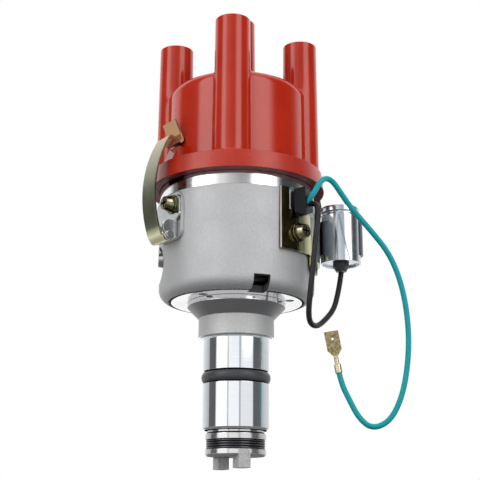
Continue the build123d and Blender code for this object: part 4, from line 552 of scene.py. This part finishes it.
# Leads: the routes repeat the points that their solids pass by
LEAD_RADIUS = 0.00115
CURVE_ORDER = 3
CURVE_STEPS = 12
ROUND_STEPS = 6
PRIMARY_LEAD_ROUTE = [
    (0.0274, -0.0247, 0.0521), (0.0300, -0.0259, 0.0545), (0.0319, -0.0266, 0.0576),
    (0.0336, -0.0262, 0.0607), (0.0361, -0.0249, 0.0629), (0.0392, -0.0226, 0.0620),
    (0.0423, -0.0202, 0.0582), (0.0470, -0.0170, 0.0524), (0.0556, -0.0124, 0.0440),
    (0.0632, -0.0090, 0.0354), (0.0680, -0.0066, 0.0240), (0.0704, -0.0054, 0.0102),
    (0.0705, -0.0050, -0.0042), (0.0683, -0.0050, -0.0185), (0.0647, -0.0052, -0.0283),
    (0.0602, -0.0054, -0.0340), (0.0541, -0.0056, -0.0359), (0.0492, -0.0056, -0.0318),
    (0.0456, -0.0053, -0.0246), (0.0424, -0.0050, -0.0176), (0.0413, -0.0050, -0.0114),
]
CONDENSER_LEAD_ROUTE = [
    (0.0286, -0.0216, 0.0527), (0.0316, -0.0228, 0.0530), (0.0329, -0.0235, 0.0502),
    (0.0325, -0.0240, 0.0454), (0.0316, -0.0242, 0.0376), (0.0305, -0.0236, 0.0274),
    (0.0294, -0.0224, 0.0170), (0.0286, -0.0194, 0.0088), (0.0294, -0.0154, 0.0046),
    (0.0326, -0.0108, 0.0040), (0.0368, -0.0052, 0.0082), (0.0408, 0.0006, 0.0138),
    (0.0429, 0.0048, 0.0210), (0.0444, 0.0082, 0.0276), (0.0450, 0.0090, 0.03145),
]


def add_lead(name, route, slot):
    """One lead as a smooth spline with the route's points as its control points."""
    curve = bpy.data.curves.new(name, "CURVE")
    curve.dimensions = "3D"
    line = curve.splines.new("NURBS")
    line.points.add(len(route) - 1)
    for point, place in zip(line.points, route):
        point.co = (*place, 1)
    line.order_u = CURVE_ORDER
    line.use_endpoint_u = True
    line.resolution_u = CURVE_STEPS
    curve.bevel_depth = LEAD_RADIUS
    curve.bevel_resolution = ROUND_STEPS
    curve.use_fill_caps = True
    curve.materials.append(MATERIALS[slot])
    lead = bpy.data.objects.new(name, curve)
    bpy.context.scene.collection.objects.link(lead)
    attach(lead, "root")
    return lead


def spring_copy(name, node, side=0):
    """The node's own shape as a piece of its own, or the half of it on one side."""
    mesh = NODES[node].data.copy()
    if side:
        shape = bmesh.new()
        shape.from_mesh(mesh)
        away = [vertex for vertex in shape.verts if vertex.co.x * side < 0]
        bmesh.ops.delete(shape, geom=away, context="VERTS")
        shape.to_mesh(mesh)
        shape.free()
    piece = bpy.data.objects.new(name, mesh)
    bpy.context.scene.collection.objects.link(piece)
    mesh.materials.clear()
    mesh.materials.append(MATERIALS[SLOT_OF[node]])
    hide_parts(node)
    return piece


def add_springs():
    """Two advance springs, the contact spring and the brush spring, each as a piece of its own; the brush
    spring rides on the root.
    """
    for name, side in (("advance_spring_right", 1), ("advance_spring_left", -1)):
        spring = spring_copy(name, "advance_springs", side)
        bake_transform(spring)
    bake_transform(spring_copy("contact_leaf", "contact_spring"))
    brush_coil = spring_copy("brush_coil", "brush_spring")
    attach(brush_coil, "root")
    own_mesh(brush_coil)


# Studio walls: brightness by azimuth in degrees round the object, from the viewer's side
LOW_WALLS = [
    (-180, 0.85), (-150, 0.85), (-126, 0.66), (-109, 0.52), (-104, 0.13), (-76, 0.11), (-70, 1.25),
    (-31, 1.2), (-29, 0.45), (-27, 0.45), (-25, 1.07), (10, 1.05), (12, 0.42), (15, 0.42), (17, 0.9),
    (59, 0.88), (63, 0.12), (90, 0.13), (100, 0.42), (112, 0.6), (150, 0.75), (180, 0.85),
]
HIGH_WALLS = [
    (-180, 1.2), (-118, 1.1), (-106, 0.12), (-80, 0.14), (-74, 0.2), (-40, 0.75), (-20, 0.85),
    (-12, 0.6), (-2, 0.44), (7, 0.33), (15, 0.45), (20, 0.5), (64, 0.2), (70, 0.04), (98, 0.06),
    (108, 0.25), (122, 1.1), (180, 1.2),
]
SOFT_BOXES = [
    (-180, 0), (-70, 0), (-64, 1), (-44, 1), (-40, 0.35), (-32, 0.16), (-24, 0.0), (19, 0), (25, 0.6),
    (32, 1), (52, 1), (62, 0.1), (66, 0), (180, 0),
]
SOFTBOX_GLOW = 2.7
DIFFUSE_GLOW = 1.2
WHITE = (1, 1, 1, 1)

# Levels in the studio, as the upward share of the direction that is looked in
LOW_LEVEL = 0.16
HIGH_LEVEL = 0.33
BOX_FOOT = 0.155
BOX_BODY = 0.19
BOX_SHOULDER = 0.75
BOX_TOP = 0.95
ROOF_START = 0.7
ROOF_FULL = 0.95


def turn_ramp(tree, stops):
    """A ramp over the whole turn, from stops of angle and brightness."""
    return color_ramp(tree, [((angle + 180) / 360, (value,) * 3) for angle, value in stops])


def add_studio():
    """White room with two soft boxes in front of the object and dark gaps beside them."""
    world = bpy.data.worlds.new("studio")
    bpy.context.scene.world = world
    world.use_nodes = True
    tree = world.node_tree
    coordinates = tree.nodes.new("ShaderNodeTexCoord")
    split = tree.nodes.new("ShaderNodeSeparateXYZ")
    tree.links.new(coordinates.outputs["Generated"], split.inputs["Vector"])
    front = arithmetic(tree, "MULTIPLY", split.outputs["Y"], -1)
    turn = arithmetic(tree, "ARCTAN2", split.outputs["X"], front)
    share = spread(tree, turn, -math.pi, math.pi)
    low, high, boxes = (turn_ramp(tree, stops) for stops in (LOW_WALLS, HIGH_WALLS, SOFT_BOXES))
    for ramp in (low, high, boxes):
        tree.links.new(share, ramp.inputs["Fac"])
    height = split.outputs["Z"]
    walls = blend(tree, spread(tree, height, LOW_LEVEL, HIGH_LEVEL),
                  low.outputs["Color"], high.outputs["Color"])
    above_foot = spread(tree, height, BOX_FOOT, BOX_BODY)
    below_top = spread(tree, height, BOX_SHOULDER, BOX_TOP, 1.0, 0.0)
    glow = arithmetic(tree, "MULTIPLY", above_foot, boxes.outputs["Color"])
    glow = arithmetic(tree, "MULTIPLY", glow, below_top)
    total = arithmetic(tree, "MULTIPLY_ADD", glow, SOFTBOX_GLOW, walls)
    mirrored = arithmetic(tree, "MAXIMUM", total, spread(tree, height, ROOF_START, ROOF_FULL))
    path = tree.nodes.new("ShaderNodeLightPath")
    even = arithmetic(tree, "MULTIPLY", path.outputs["Is Diffuse Ray"], DIFFUSE_GLOW)
    sharp = arithmetic(tree, "SUBTRACT", 1, path.outputs["Is Diffuse Ray"])
    room = tree.nodes["Background"]
    room.inputs["Color"].default_value = WHITE
    strength = arithmetic(tree, "MULTIPLY_ADD", mirrored, sharp, even)
    tree.links.new(strength, room.inputs["Strength"])
    plain = tree.nodes.new("ShaderNodeBackground")
    plain.inputs["Color"].default_value = WHITE
    mix = tree.nodes.new("ShaderNodeMixShader")
    tree.links.new(path.outputs["Is Camera Ray"], mix.inputs["Fac"])
    tree.links.new(room.outputs["Background"], mix.inputs[1])
    tree.links.new(plain.outputs["Background"], mix.inputs[2])
    tree.links.new(mix.outputs["Shader"], tree.nodes["World Output"].inputs["Surface"])
    bpy.context.scene.view_settings.view_transform = "Standard"


# Floor: pale where the camera sees it, with painted shade close to the object in the object's reflections
# and bounced light
FLOOR_HEIGHT = -0.09
FLOOR_REACH = 3.0
FLOOR_ROUGHNESS = 0.7
FLOOR_SEEN = (0.82, 0.82, 0.82)
FLOOR_PAINTED_SHADE = (0.14, 0.14, 0.14)
FLOOR_DARK_REACH = 0.12
FLOOR_PALE_REACH = 0.45


def floor_paint():
    """Pale paint with painted shade close to the object, which reads darker in the object's own
    reflections.
    """
    material, tree, shader = new_material("floor_paint", FLOOR_SEEN, metallic=0, roughness=FLOOR_ROUGHNESS)
    path = tree.nodes.new("ShaderNodeLightPath")
    coordinates = tree.nodes.new("ShaderNodeTexCoord")
    distance = tree.nodes.new("ShaderNodeVectorMath")
    distance.operation = "LENGTH"
    tree.links.new(coordinates.outputs["Object"], distance.inputs[0])
    away = spread(tree, distance.outputs["Value"], FLOOR_DARK_REACH, FLOOR_PALE_REACH)
    share = arithmetic(tree, "MAXIMUM", path.outputs["Is Camera Ray"], away)
    color = blend(tree, share, FLOOR_PAINTED_SHADE, FLOOR_SEEN)
    tree.links.new(color, shader.inputs["Base Color"])
    return material


def add_floor():
    """A pale floor below the object and below the viewpoint."""
    mesh = bpy.data.meshes.new("floor")
    corners = [(x * FLOOR_REACH, y * FLOOR_REACH, 0) for x, y in ((-1, -1), (1, -1), (1, 1), (-1, 1))]
    mesh.from_pydata(corners, [], [(0, 1, 2, 3)])
    floor = bpy.data.objects.new("floor", mesh)
    floor.location.z = FLOOR_HEIGHT
    bpy.context.scene.collection.objects.link(floor)
    floor.data.materials.append(floor_paint())


# The scene
add_camera()
add_studio()
add_floor()

primary = add_lead("lead_to_coil", PRIMARY_LEAD_ROUTE, "lead_green")
condenser = add_lead("lead_to_condenser", CONDENSER_LEAD_ROUTE, "lead_black")
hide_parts("primary_lead")
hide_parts("condenser_lead")

add_springs()
for node, piece in NODES.items():
    dress(piece, node)
